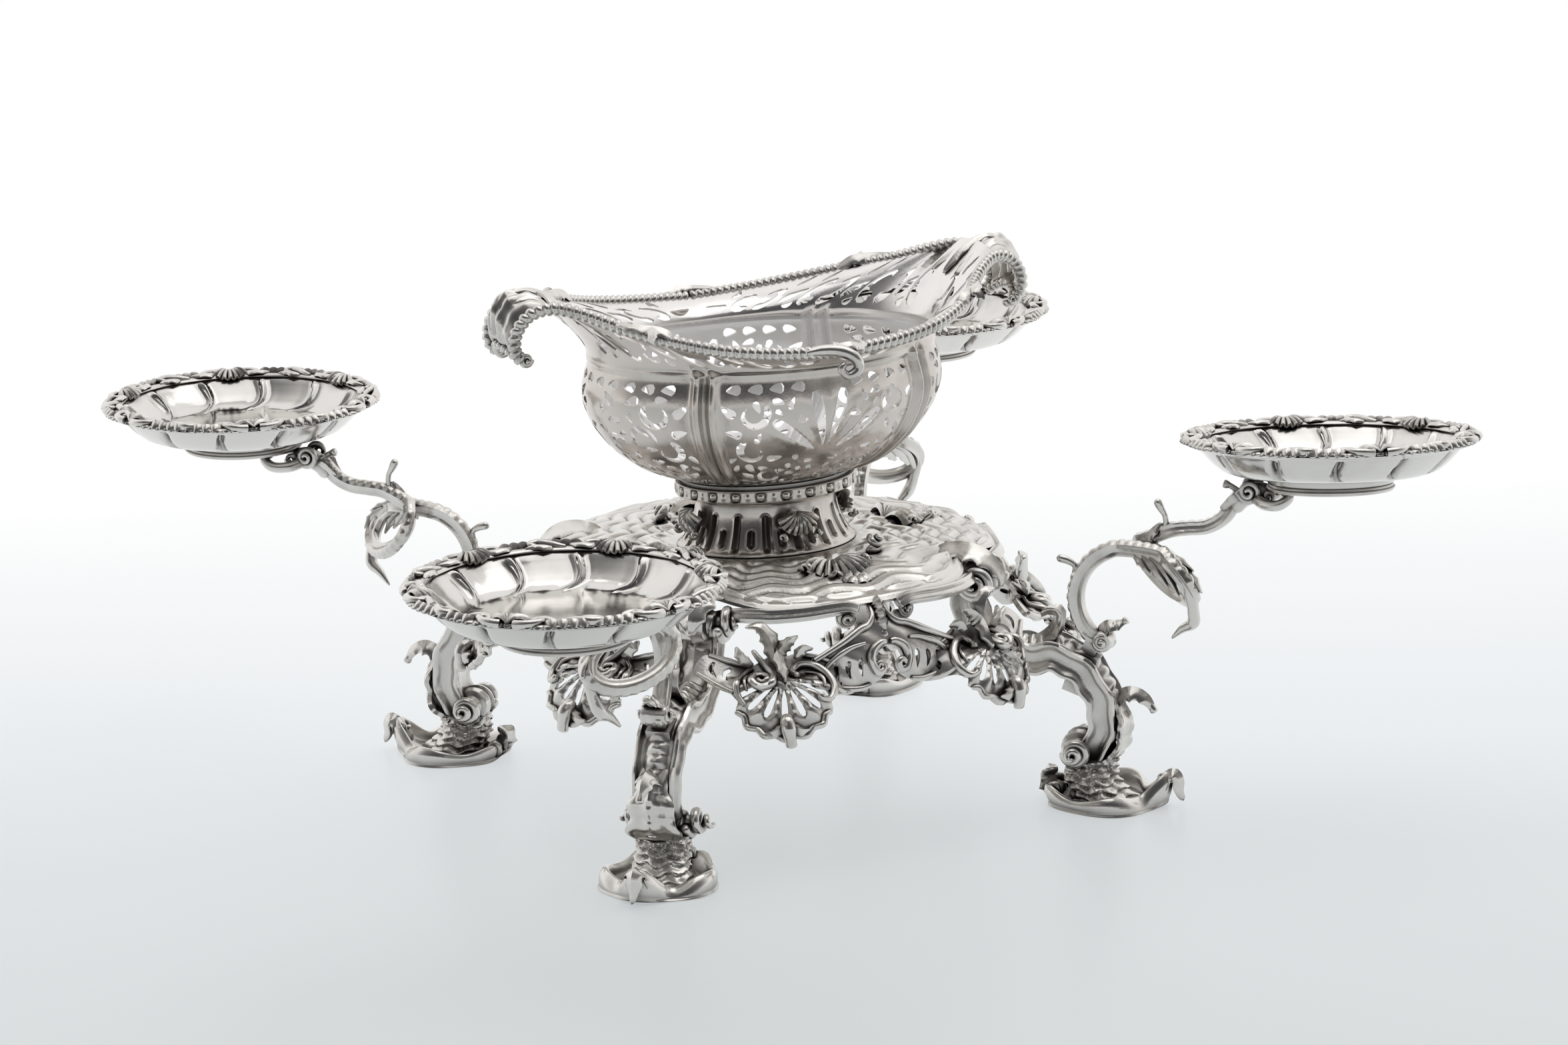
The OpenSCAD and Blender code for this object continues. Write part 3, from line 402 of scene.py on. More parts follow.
def scallop(name, radius, ribs=9, spread=150, dome=0.32, thick=1.6, rise=0.07):
    """A ribbed shell in the XY plane, hinge at the origin, opening towards -Y, domed up."""
    def form(u, v):
        angle = math.radians(spread) * (u - 0.5)
        rib = np.cos(TAU * ribs * (u - 0.5))
        reach = radius * v * (1 + 0.05 * rib * v)
        height = radius * (dome * np.sin(math.pi * (0.08 + 0.8 * v)) + rise * v ** 0.5 * rib)
        height = height + 0.012 * radius * np.sin(40 * v) * v
        return np.stack([reach * np.sin(angle), -reach * np.cos(angle), height], 1)

    return modified(raised(name, ribs * 6, 16, form), "SOLIDIFY", thickness=thick * MM, offset=0)


def snail(name, at, axis, radius, width, turns=2.2, wire=0.36):
    """A scroll end: a tapering bar wound inwards while it moves along its axis."""
    axis = np.array(axis, float) / np.linalg.norm(axis)
    flat = np.cross(axis, (0, 0, 1)) if abs(axis[2]) < 0.9 else np.array((1.0, 0, 0))
    flat /= np.linalg.norm(flat)
    other = np.cross(axis, flat)
    t = np.linspace(0, 1, 40)[:, None]
    r, turn = radius * (1 - 0.86 * t) * (1 - wire), TAU * turns * t
    line = np.array(at) + axis * width * t + flat * r * np.cos(turn) + other * r * np.sin(turn)
    return swept(name, line, bar(radius * wire, radius * wire * 0.8, radius * wire * 0.4, reach=0.05),
                 10, 80, axis)


def curls(name, at, *rest):
    """Two scroll ends, one on each side of the diagonal."""
    out, half, z = at
    return [snail(name, (out, way * half, z), (0, way, 0), *rest) for way in (-1, 1)]


def moved(piece, matrix):
    piece.data.transform(matrix)
    return piece


def framed(at, x, y, z):
    """A matrix from three directions and a place in millimetres."""
    matrix = Matrix.Identity(4)
    for column, direction in enumerate((x, y, z)):
        for row, value in enumerate(Vector(direction).normalized()):
            matrix[row][column] = value
    matrix.translation = Vector(at) * MM
    return matrix


# %% [markdown]
# ## The basket
# The sheet is drawn flat as one quarter, the way a piercer glues the pattern to the
# metal: every hole is a tapered stroke. The flat quarter is then ruled into small cells,
# bent onto the bowl and its flared band, mirrored twice and given its thickness. Cutting a
# finished bowl with hundreds of Boolean tools would be slow and leave ragged faces.

# %% The basket's lines
BASKET_A, BASKET_B, BOWL_Z, BOWL_H, RIM_D, RIB_AT = 107.0, 82.0, 183.4, 73.0, 6.0, 50.0
NECK_Z = BOWL_Z + BOWL_H
PROFILE = [(0.4645, 0), (0.7, 0.13), (0.88, 0.34), (0.975, 0.56), (1, 0.76), (0.955, 1)]
RIM = np.array([
    (0, -94, 268.4), (38.5, -91, 270.9), (70.6, -82, 275.4), (99, -62.3, 282.9), (112.9, -45.9, 287.9),
    (126.5, -32.8, 293.4), (139.5, -23.8, 296.4), (151.3, -19.7, 293.4), (158.9, -18, 284.4),
    (160.1, -17.2, 274.4), (155.4, -16.4, 267.4)])
LIP = np.array([(141.2, 0, 302.4), (154.2, 0, 303.9), (163.6, 0, 296.4), (166, 0, 282.4), (160, 0, 275.4)])
EDGE = np.vstack([RIM[:7], (RIM[6] + LIP[0]) / 2 + (0, 0, 2), LIP[0]])
side_line = through(PROFILE, np.linspace(0, len(PROFILE) - 1, 400))
side_run = distance_along(side_line * ((BASKET_A + BASKET_B) / 2, BOWL_H))
turns = np.linspace(90, 0, 400)
oval = np.stack([BASKET_A * np.cos(np.radians(turns)), BASKET_B * np.sin(np.radians(turns))], 1)
oval_run = distance_along(oval)
SIDE, BAND, QUARTER, FAN_LOW = side_run[-1], 26.0, oval_run[-1], 44.0
RIB_X = np.interp(90 - RIB_AT, 90 - turns, oval_run)
print("flat quarter of the basket:", round(QUARTER, 1), "by", round(SIDE + BAND, 1), "mm")


def basket_point(x, y):
    """From flat millimetres, x from the front's middle and y up from the collar, to the basket."""
    turn = np.interp(x, oval_run, turns)
    share = np.interp(y, side_run, side_line[:, 0])
    ribs = hump(x - RIB_X + 4.4, 3.0) + hump(x - RIB_X - 4.4, 3.0)
    low = unit(y / 14) * unit((SIDE + 4 - y) / 6)
    fan_turn = np.degrees(np.arctan2(x, y - FAN_LOW))
    fan = np.cos(np.radians(fan_turn * 18)) * hump(np.hypot(x, y - FAN_LOW) - 26, 13)
    fan = fan * (np.abs(fan_turn) < 62)
    out = low * (5.2 * ribs - 2.2 * hump(x - RIB_X, 13)) + 0.8 * fan * low + 1.6 * hump(y - SIDE, 1.7)
    a, b = np.radians(turn), share
    neck = np.stack([(BASKET_A * b + out) * np.cos(a), -(BASKET_B * b + out) * np.sin(a),
                     BOWL_Z + BOWL_H * np.interp(y, side_run, side_line[:, 1])], 1)
    last = len(EDGE) - 1
    u = last * ((90 - turn) / 90) ** 0.86
    edge = through(EDGE, u)
    along = through(EDGE, np.minimum(u + 0.05, last)) - through(EDGE, np.maximum(u - 0.05, 0))
    along /= np.linalg.norm(along, axis=1)[:, None]
    inward = neck - edge
    inward -= along * (inward * along).sum(1)[:, None]
    edge = edge + inward / np.linalg.norm(inward, axis=1)[:, None]
    up = unit((y - SIDE) / BAND)[:, None]
    flare = np.concatenate([up ** 1.5, up ** 1.5, up], 1)
    return neck + (edge - neck) * flare


# %% Strokes of the piercing saw
def cut(points, width):
    """Outline of a tapered stroke, broad near its start and pointed at its end."""
    length = np.linalg.norm(np.diff(np.array(points, float), axis=0), axis=1).sum()
    count = int(np.clip(length / 2, 7, 14))
    line = even(points, count)
    along = np.gradient(line, axis=0)
    along /= np.linalg.norm(along, axis=1)[:, None]
    taper = np.interp(np.linspace(0, 1, count), (0, 0.1, 0.3, 0.75, 1), (0.45, 0.95, 1, 0.65, 0.12))
    beside = np.stack([-along[:, 1], along[:, 0]], 1) * (width / 2 * taper)[:, None]
    return np.vstack([line + beside, (line - beside)[::-1]])


def ray(x, y, degrees, inner, outer, width):
    way = np.array((math.sin(math.radians(degrees)), math.cos(math.radians(degrees))))
    return cut([np.array((x, y)) + way * r for r in (outer, (inner + outer) / 2, inner)], width)


def pierce(hole, low=4.0, high=SIDE - 4, gap=1.7):
    """Keeps a stroke if it stays clear of the sheet's edges, the ribs and every earlier stroke."""
    x, y = hole.T
    clear = x.min() > 1.1 and x.max() < QUARTER - 1.1 and y.min() > low and y.max() < high
    clear = clear and (x.max() < RIB_X - 9 or x.min() > RIB_X + 9 or low > SIDE)
    if clear and all(np.linalg.norm(hole[:, None] - other, axis=2).min() > gap for other in holes):
        holes.append(hole)


def winding(x, y, radius, start, sweep):
    """Gives the points of a C scroll that winds in about a centre, moved outwards and onwards."""
    def at(t, out=0.0, on=0.0):
        a = math.radians(start + sweep * t)
        way = np.array((math.cos(a), math.sin(a)))
        side = math.copysign(on, sweep) * np.array((-way[1], way[0]))
        return np.array((x, y)) + way * (radius * (1 - 0.5 * t * t) + out) + side
    return at


def flourish(scrolls, width, **limits):
    """Pierces C scrolls, then as many leaves as fit along their outer sides, large ones first."""
    lines = [winding(*scroll) for scroll in scrolls]
    for at in lines:
        pierce(cut([at(t) for t in np.linspace(0, 1, 8)], width), **limits)
    for size in LEAF_SIZES:
        for t in LEAF_PLACES:
            for at in lines:
                edge = [at(t, 4.1), at(t, 4 + 2.4 * size, 1.4 * size), at(t, 4 + 5 * size, 4.4 * size)]
                pierce(cut(edge, 3.9 * size), **limits)


LEAF_SIZES, LEAF_PLACES = (1.5, 1.15, 0.85), (0.0, 0.4, 0.2, 0.6, 0.8, 0.1, 0.3, 0.5, 0.7)
FAN_RAYS, TREFOIL, STAR = (12, 31, 50), (0, 120, 240), (25, 155, 90)
ROW_STEP, BAND_STEP, SWEEP = 12.4, 37.2, 255
holes = []
for turn in FAN_RAYS:
    pierce(ray(0, FAN_LOW, turn, 9, 44, 7))
for x in np.arange(6.5, QUARTER, ROW_STEP):
    pierce(cut([(x - 4.2, SIDE - 8.5), (x, SIDE - 8), (x + 4.2, SIDE - 8.5)], 6))
near_fan = [(45, 77, 8.5, 150, SWEEP), (25, 81, 6.5, 30, -SWEEP), (46, 52, 8.5, 60, -SWEEP),
            (37, 28, 8.5, 200, SWEEP), (18, 17, 7, 20, -SWEEP)]
beyond = [(2 * RIB_X - x, y, radius, 180 - start, -sweep) for x, y, radius, start, sweep in near_fan]
at_end = [(113, 58, 9, 180, -SWEEP), (131, 79, 9, 40, SWEEP), (134, 51, 8.5, 140, -SWEEP),
          (122, 30, 8.5, 20, SWEEP), (139, 27, 7, 160, -SWEEP)]
flourish(near_fan + beyond + at_end, 5)
for x in np.arange(5, QUARTER, 4):
    for y in np.arange(9, SIDE - 10, 4):
        if math.hypot(x, y - FAN_LOW) > 46 or y < FAN_LOW:
            for turn in STAR:
                pierce(ray(x, y, turn, 0, 7.5, 4.2), gap=1.6)
band = {"low": SIDE + 3.2, "high": SIDE + BAND - 2.5}
middle = SIDE + 0.5 * BAND
flourish([(x + way * 5, middle, 6, 90 + way * 150, way * SWEEP)
          for x in np.arange(27, QUARTER, BAND_STEP) for way in (-1, 1)], 4.6, **band)
for x in np.arange(8.5, QUARTER, BAND_STEP):
    for turn in TREFOIL:
        pierce(ray(x, middle - 1, turn, 1.6, 9, 5), **band)
print("strokes in a quarter of the basket:", len(holes))

# %% The sheet, from flat to bowl
def fretted(name, outline, openings):
    """A flat sheet in millimetres with holes, filled from closed lines."""
    bpy.ops.object.select_all(action="DESELECT")
    bpy.ops.object.add(type="CURVE")
    piece = bpy.context.object
    piece.name, piece.data.dimensions, piece.data.fill_mode = name, "2D", "BOTH"
    for loop in [outline, *openings]:
        line = piece.data.splines.new("POLY")
        line.points.add(len(loop) - 1)
        flat = np.column_stack([loop, np.zeros(len(loop)), np.ones(len(loop))])
        line.points.foreach_set("co", flat.ravel())
        line.use_cyclic_u = True
    bpy.ops.object.convert(target="MESH")
    return bpy.context.object


def ruled(piece, xs, ys):
    """Cuts a sheet along the given lines, so that it can bend, and drops its other inner edges."""
    sheet = bmesh.new()
    sheet.from_mesh(piece.data)
    for way, lines in ((Vector((1, 0, 0)), xs), (Vector((0, 1, 0)), ys)):
        for value in lines:
            bmesh.ops.bisect_plane(sheet, geom=sheet.verts[:] + sheet.edges[:] + sheet.faces[:],
                                   plane_co=way * float(value), plane_no=way)
    lines = [{round(float(value), 2) for value in values} for values in (xs, ys)]

    def on_line(edge):
        a, b = (corner.co for corner in edge.verts)
        return any(abs(a[i] - b[i]) < 0.001 and round(a[i], 2) in lines[i] for i in (0, 1))

    spare = [edge for edge in sheet.edges if not edge.is_boundary and not on_line(edge)]
    bmesh.ops.dissolve_edges(sheet, edges=spare, use_verts=False)
    spare = [corner for corner in sheet.verts if len(corner.link_edges) == 2 and not corner.is_boundary]
    bmesh.ops.dissolve_verts(sheet, verts=spare)
    bmesh.ops.triangulate(sheet, faces=sheet.faces[:])
    print(piece.name, "ruled into", len(sheet.faces), "faces")
    sheet.to_mesh(piece.data)
    sheet.free()
    return piece


def outwards(piece, centre):
    """Turns the faces of an open sheet away from a point, in millimetres."""
    faces = piece.data.polygons
    away = sum((f.center - Vector(centre) * MM).dot(f.normal) * f.area for f in faces)
    if away < 0:
        piece.data.flip_normals()
    return piece


top = SIDE + BAND
bowl = fretted("basket_sheet", np.array([(0, 0), (QUARTER, 0), (QUARTER, top), (0, top)]), holes)
near_rib = RIB_X + np.arange(-13, 14, 1.3)
ruled(bowl, np.concatenate([np.arange(3, QUARTER, 3), near_rib]),
      np.concatenate([np.arange(3, top, 3), SIDE + np.array((-2.4, -1.2, 0, 1.2, 2.4))]))
flat = places(bowl)
place(bowl, basket_point(flat[:, 0], flat[:, 1]) * MM)
outwards(bowl, (0, 0, 250))
modified(bowl, "MIRROR", use_axis=(True, True, False), merge_threshold=0.05 * MM)
modified(bowl, "SOLIDIFY", thickness=1.4 * MM, offset=-1)
faces = bowl.data.polygons
# Marks the basket's inside faces for the painted light of sheet_silver; the band's inside above the neck gets
# 0.6 of it.
inner = np.array([f.normal.x * f.center.x + f.normal.y * f.center.y < 0 for f in faces], float)
inner *= [1.0 if f.center.z < NECK_Z * MM else 0.6 for f in faces]
bowl.data.attributes.new("inner", "FLOAT", "FACE").data.foreach_set("value", inner)
settle(bowl, "basket", sheet_silver, "basket_bowl", angle=50)
print("basket sheet:", len(bowl.data.polygons), "faces")

# %% [markdown]
# ## Rim, lips, knops and hooks
# The rim is a gadrooned wire: a round bar whose radius swells in slanted ribs. It runs
# from the front's middle over the end lip and curls under; a quarter is mirrored twice.
# A twisted bar would bunch its ribs in the bends, and a section that swells along the line
# keeps them even. The lips are sheets rolled outwards between the two ends of the rim.

# %% Gadrooned rim
rim_length = distance_along(even(RIM, 200))[-1]


def gadroon(angle, share):
    swell = 0.68 + 0.44 * np.abs(np.sin(math.pi * share * rim_length / 4.2 + angle / 2)) ** 0.6
    r = RIM_D / 2 * 1.06 * swell * rounded(share, 0.01)
    return 1.12 * r * np.cos(angle), r * np.sin(angle)


rim = joined("basket_rope", [
    swept("rope", RIM, gadroon, 10, 560),
    snail("rim_curl", RIM[-1] + (-2, 1, 1), (0, -1, 0), 5.5, 5, 1.6, 0.42)])
modified(rim, "MIRROR", use_axis=(True, True, False), use_mirror_merge=False)
settle(rim, "basket", cast_silver, "basket_rim", angle=60)
print("rim:", round(rim_length), "mm in a quarter,", len(rim.data.polygons), "faces")

# %% Rolled end lips
def lip_form(u, v):
    side = 2 * u - 1
    edge = through(RIM, 6 + 4 * v) + (0, 2.4, 0)
    crest = through(LIP, 4 * v)
    arch = (1 - side ** 2)[:, None]
    point = edge * (1, 0, 1) * (1 - arch) + crest * (1, 0, 1) * arch
    chased = 1.7 * np.cos(5 * math.pi * side) * np.sin(math.pi * v) ** 0.5
    chased = chased + 0.8 * np.sin(26 * v - 4 * np.abs(side))
    point[:, 2] += chased * (1 - v) * arch[:, 0]
    point[:, 0] += chased * v * arch[:, 0]
    point[:, 1] = -edge[:, 1] * side
    return point


lip = raised("lip", 40, 40, lip_form)
outwards(lip, (140, 0, 270))
modified(lip, "SOLIDIFY", thickness=1.6 * MM, offset=-1)
lip_end = [(155.4, 15, 267.4), (159.5, 9, 272.6), (161.6, 0, 275), (159.5, -9, 272.6), (155.4, -15, 267.4)]


def beaded(angle, share):
    r = 2.9 * (0.7 + 0.42 * np.abs(np.sin(10 * math.pi * share + angle / 2)) ** 0.7) * rounded(share, 0.05)
    return r * np.cos(angle), r * np.sin(angle)


def lip_leaf(y):
    low = abs(y) / 4
    return leaf("lip_leaf", [(118, y, 285), (132, 0.8 * y, 298 - low), (147, 0.7 * y, 304 - low),
                             (159, 0.6 * y, 300 - low)], 9, 5, 0.1, 1.8)


lips = joined("basket_end_lips", [
    lip, swept("lip_rope", lip_end, beaded, 10, 90, (1, 0, 0)), *[lip_leaf(y) for y in (-13, 0, 13)]])
lips = joined("basket_end_lips", [lips, copied(lips, "far_lip", about_z(180))])
settle(lips, "basket", cast_silver, "basket_lips")
print("end lips:", len(lips.data.polygons), "faces")

# %% Knops and hooks
knop = joined("knop", [
    leaf("knop_leaf", near(RIM[3], (-14, -8, -4), (-5, -4, 3), (6, 3, 5), (15, 13, 6)), 11, 5),
    leaf("knop_curl", near(RIM[3], (0, -1, 3), (2, -6, 5), (4, -10, 1), (1, -9, -4)), 8, 3)])
modified(knop, "MIRROR", use_axis=(True, True, False), use_mirror_merge=False)
settle(knop, "basket", cast_silver, "basket_knops")

hook = joined("hook", [
    swept("hook_bar", near(RIM[0], (-22, 0.5, 1.5), (-12, -2, 2.5), (-3, -7, 2), (4, -11, -2), (5, -12, -8),
                           (-1, -11.5, -11), (-5, -11, -7), (-2, -11, -4)),
          bar(1.5, 3.2, 3.6, 3.2, 2.6, 1.8), 14, 60),
    leaf("hook_leaf", near(RIM[0], (-6, -4, 4), (3, -6, 5), (10, -4, 3), (17, -1, 3)), 8, 4)])
hooks = joined("basket_scroll_hooks", [hook, copied(hook, "far_hook", about_z(180))])
settle(hooks, "basket", cast_silver, "basket_hooks")
print("knops:", len(knop.data.polygons), "faces; hooks:", len(hooks.data.polygons), "faces")

# %% [markdown]
# ## Dishes and their borders
# A dish is raised from one disc and chased with comma-shaped flutes, broad under the rim and
# thin at the floor: ridges inside, slanted grooves outside. The grid's columns follow the
# flutes and crowd together at each ridge. The cast border has a lobed, gadrooned edge, and
# one sector of shells, scrolls and husks is copied round it. A spun profile would be
# quicker, but it can't have flutes that lean.

# %% One dish, about its own middle
DISH_S, FLUTES, LOBES = 326.0, 12, 12
RING_TOP = {corner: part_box("dish_ring_" + corner)[1].z / MM for corner in CORNERS}
DISH_LINE = np.array([
    (0, 7), (24, 7), (48, 7.1), (53, 7.8), (58, 10), (63, 14.2), (67.5, 19), (70.5, 22.6), (72.5, 23.6),
    (79.4, 23.8), (79.4, 21.8), (73.5, 21.4), (71.5, 19.6), (68.6, 16), (64.5, 11.6), (60, 8), (55, 5.9),
    (50, 5.2), (37, 5.2), (35.6, 4.2), (35, 0), (30.1, 0), (30.1, -2.6), (27.7, -2.6), (27.7, 5.2), (0, 5.2)])
dish_run = distance_along(DISH_LINE) / distance_along(DISH_LINE)[-1]
UNDERSIDE = dish_run[10]


def dish_form(u, v):
    r, z = (np.interp(v, dish_run, axis) for axis in DISH_LINE.T)
    whole = np.minimum(np.floor(u * FLUTES + 1e-9), FLUTES)
    q = u * FLUTES - whole - 0.5
    beside = np.sign(q) * np.abs(2 * q) ** 1.9 / 2
    up = unit((r - 51) / 19)
    lean = (6.5 * (1 - up) ** 2.5 - 3.2 * np.sin(math.pi * up)) * unit((r - 36) / 12) / np.maximum(r, 20)
    angle = TAU / FLUTES * (whole + 0.5 + beside) + lean
    across = beside * 2 * math.pi * r / FLUTES
    width = np.where(across > 0, 0.8, 1.25) * (0.7 + 1.5 * up ** 1.5)
    ends = unit((r - 49) / 6) * unit((70.6 - r) / 2.2) ** 0.5
    inside = ends * ((0.9 + 1.9 * up) * hump(across, width) - 0.5 * hump(np.abs(across) - 4.5, 2))
    outside = 4.2 / (1 + (across / 1.9) ** 6) * unit((r - 58) / 3) * unit((71.5 - r) / 2)
    lift = np.where(v < UNDERSIDE, inside, outside)
    r, z = r - 0.75 * lift, z + 0.65 * lift
    return polar(r, angle, z)


dish = raised("dish", FLUTES * 18, 80, dish_form)
print("dish:", len(dish.data.polygons), "faces")

# %% The border's ring
BORDER_R, BEADS = 76.0, 96


def border_form(u, v):
    angle, turn = TAU * u, TAU * v
    lobe = np.abs(np.sin(LOBES * angle / 2)) ** 0.7
    inner, outer = 71.0 - 0.8 * lobe, 79.0 + 2.8 * lobe
    bead = np.abs(np.cos(BEADS * angle / 2)) ** 0.8
    edge = unit(np.cos(turn)) ** 2
    r = (inner + outer) / 2 + (outer - inner) / 2 * np.cos(turn) + 1.3 * edge * (bead - 0.6)
    side = np.sin(turn)
    z = 23.8 + np.where(side > 0, 1.8, 1.3) * side + 0.7 * edge * (bead - 0.5) * np.sign(side)
    z = z - 1.0 * hump(np.cos(turn) - 0.1, 0.3) * (side > 0)
    return polar(r, angle, z)


def on_border(points, height, bulge=1.2):
    """Lays a flat line, in millimetres round the border and outwards, over its crown."""
    along, out = np.asarray(points, float).T
    angle = along / BORDER_R
    r = BORDER_R + out
    crown = height + bulge * np.sin(math.pi * np.linspace(0, 1, len(along)))
    return polar(r, angle, crown)


# %% One sector of the border, copied six times
def mirrored(points):
    return np.asarray(points, float) * (-1, 1)


shell = scallop("border_shell", 12, 7, 135, 0.34, 1.3, 0.1)
sector = [moved(shell, framed((79.5, 0, 24.2), (0, -1, 0), (1, 0, 0.16), (-0.16, 0, 1)))]
for side in (np.asarray, mirrored):
    scroll = side([(3, 3.4), (8, 4.4), (13, 3.4), (16.5, 0), (14.5, -3), (11.5, -1.6), (12.5, 0.6)])
    beside = side([(9, 0), (14, -3.6), (20, -3), (25, 0.5)])
    sector += [swept("c_scroll", on_border(scroll, 24.8), bar(2.4, 2.1, 1.9, 1.5, 1.7), 10, 40),
               leaf("scroll_leaf", on_border(beside, 25, 1.6), 6.5, 3, 0.2, 1.6, sides=14, steps=18)]
    for k, along in enumerate((18, 23, 28, 33)):
        husk = side([(along, 1.5 + 0.3 * k), (along + 3.4, 3.2), (along + 8, 2.0)])
        sector.append(leaf("husk", on_border(husk, 25, 1.4), 6.2, 2, 0.5, 1.6, sides=12, steps=14))
scroll = [(26, -3), (31, -1.8), (36, 1), (41, 3.4), (45, 2), (43.6, -0.6), (41.4, 0.6)]
crest = [(33, -3.4), (38, -4.4), (44, -3), (49, -3.4)]
sector += [swept("crest_scroll", on_border(scroll, 25), bar(1.2, 2.1, 2.4, 1.9, 1.6), 10, 44),
           leaf("crest_leaf", on_border(crest, 24.8, 1.6), 6, 3, 0.3, 1.5, sides=14, steps=18)]
sector = joined("border_sector", sector)
border = joined("dish_border", [raised("border_ring", BEADS * 8, 18, border_form)]
                + [copied(sector, "sector", about_z(60 * k)) for k in range(6)])
bpy.data.objects.remove(sector)


def ring_form(u, v):
    """The ring that carries a dish: two reeds over a flat foot."""
    angle, turn = TAU * u, TAU * v
    reed = 1 + 0.16 * np.cos(6 * turn) * (np.sin(turn) > -0.4)
    r, z = 32.6 + 2.3 * reed * np.cos(turn), -2.4 + 2.1 * np.maximum(reed * np.sin(turn), -0.8)
    return polar(r, angle, z)


ring = raised("ring", 96, 36, ring_form)
LEAN = {"front_right": Matrix.Rotation(math.radians(-6.3), 4, (0.951, 0.309, 0))}
for corner, turn in CORNERS.items():
    at_ring = Matrix.Translation(Vector((DISH_S, 0, RING_TOP[corner])) * MM)
    seat = about_z(turn) @ at_ring @ LEAN.get(corner, Matrix())
    for pattern, name, body, finish, node in (
            (ring, "carrying_ring_", "arm_", cast_silver, "dish_ring_"),
            (dish, "chased_dish_", "plate_", dish_silver, "dish_"),
            (border, "cast_border_", "plate_", cast_silver, "dish_border_")):
        settle(copied(pattern, name + corner, seat), body + corner, finish, node + corner)
print("border faces:", len(border.data.polygons))
for pattern in (dish, border, ring):
    bpy.data.objects.remove(pattern)
print("dishes at heights", {corner: round(z, 1) for corner, z in RING_TOP.items()})

# %% [markdown]
# ## Branches
# A branch is one cast bar: a C scroll from the tenon, a full loop that ends in a beak, then an
# S scroll up to the ring. A notched ridge runs along its back, feathers lie on the loop and
# tendrils with round tips break from its bends. The dishes hang at slightly different
# heights, so each branch is swept anew. A curve's bevel could make the bar, but not the
# ridge that turns with it.

# %% The branch's line and section
SCROLL_S, SCROLL_Z, SCROLL_R = 212.2, 119.0, 29.5
LOOP_S, LOOP_Z, LOOP_RISE, LOOP_TOP, BLOCK_S = 233.2, 135.5, 14.5, 153.5, 280.0


def on_scroll(degrees, out=0):
    a, r = math.radians(degrees), SCROLL_R + out
    return np.array((SCROLL_S + r * math.cos(a), 0, SCROLL_Z + r * math.sin(a)))


def on_loop(degrees):
    a, t = math.radians(degrees), (90 - degrees) / 360
    climb = 3.5 * t * t * (3 - 2 * t)
    c, s = math.cos(a), math.sin(a)
    return np.array((LOOP_S + 16 * c - 9 * s, -18 * c, LOOP_Z + LOOP_RISE * s + climb))


def strap(radius, thin, pitch, length):
    """Section with a notched ridge on its outer side, hollow flanks and beaded edges."""
    def section(angle, share):
        r = radius * (1 - (1 - thin) * share) * rounded(share, 0.015)
        notch = np.abs(np.sin(math.pi * share * length / pitch))
        side = np.abs(np.sin(angle))
        ridge = np.maximum(np.cos(angle), 0) ** 5 * (0.12 + 0.2 * notch)
        f = 1 + ridge - 0.36 * hump(side - 1, 0.2) + 0.12 * hump(side - 0.72, 0.14)
        return 1.08 * r * f * np.cos(angle), 1.22 * r * f * np.sin(angle)
    return section


def tendril(points, root=2.9):
    """A thin stem with a round tip."""
    return swept("tendril", points, bar(root, 2.3, 1.8, 1.6, 1.6, 2.3, 2.6, reach=0.1), 12, 48, (0, 1, 0))


# %% Four branches
FEATHERS = (
    ((216, -4, 147), (222, -8, 143), (228, -11, 137)),
    ((221, -6, 147), (231, -13, 141), (239, -16, 131.5)),
    ((226, -8, 147), (238, -16, 139), (245.5, -18, 127.5)),
    ((228, -4, 150.5), (242, -12, 147.5), (253.5, -16, 142)),
    ((242, -12, 146), (253, -18, 138), (258.5, -18, 130)))
RISE = ((3, 0.2), (13, 0.255), (24, 0.3), (33, 0.46), (39, 0.7), (45, 0.97))
BEAK = ((252.5, -14, 118), (251.5, -11, 111), (245, -8, 106.5), (238, -5, 99.5))
SCROLL_TIP = ((190, 0), (172, 2.5), (158, 4), (149.5, 6), (149, 11.5), (151.5, 17.5))
PRONG = ((4, 4, -7), (11, 12, -9.5), (20, 16.5, -9), (26, 15, -4.5), (22, 12, -2))
LOOP_TIP = ((226, 0), (231, 4.5), (233.6, 9.5), (233.4, 15), (231, 19.5), (228.2, 24.8))


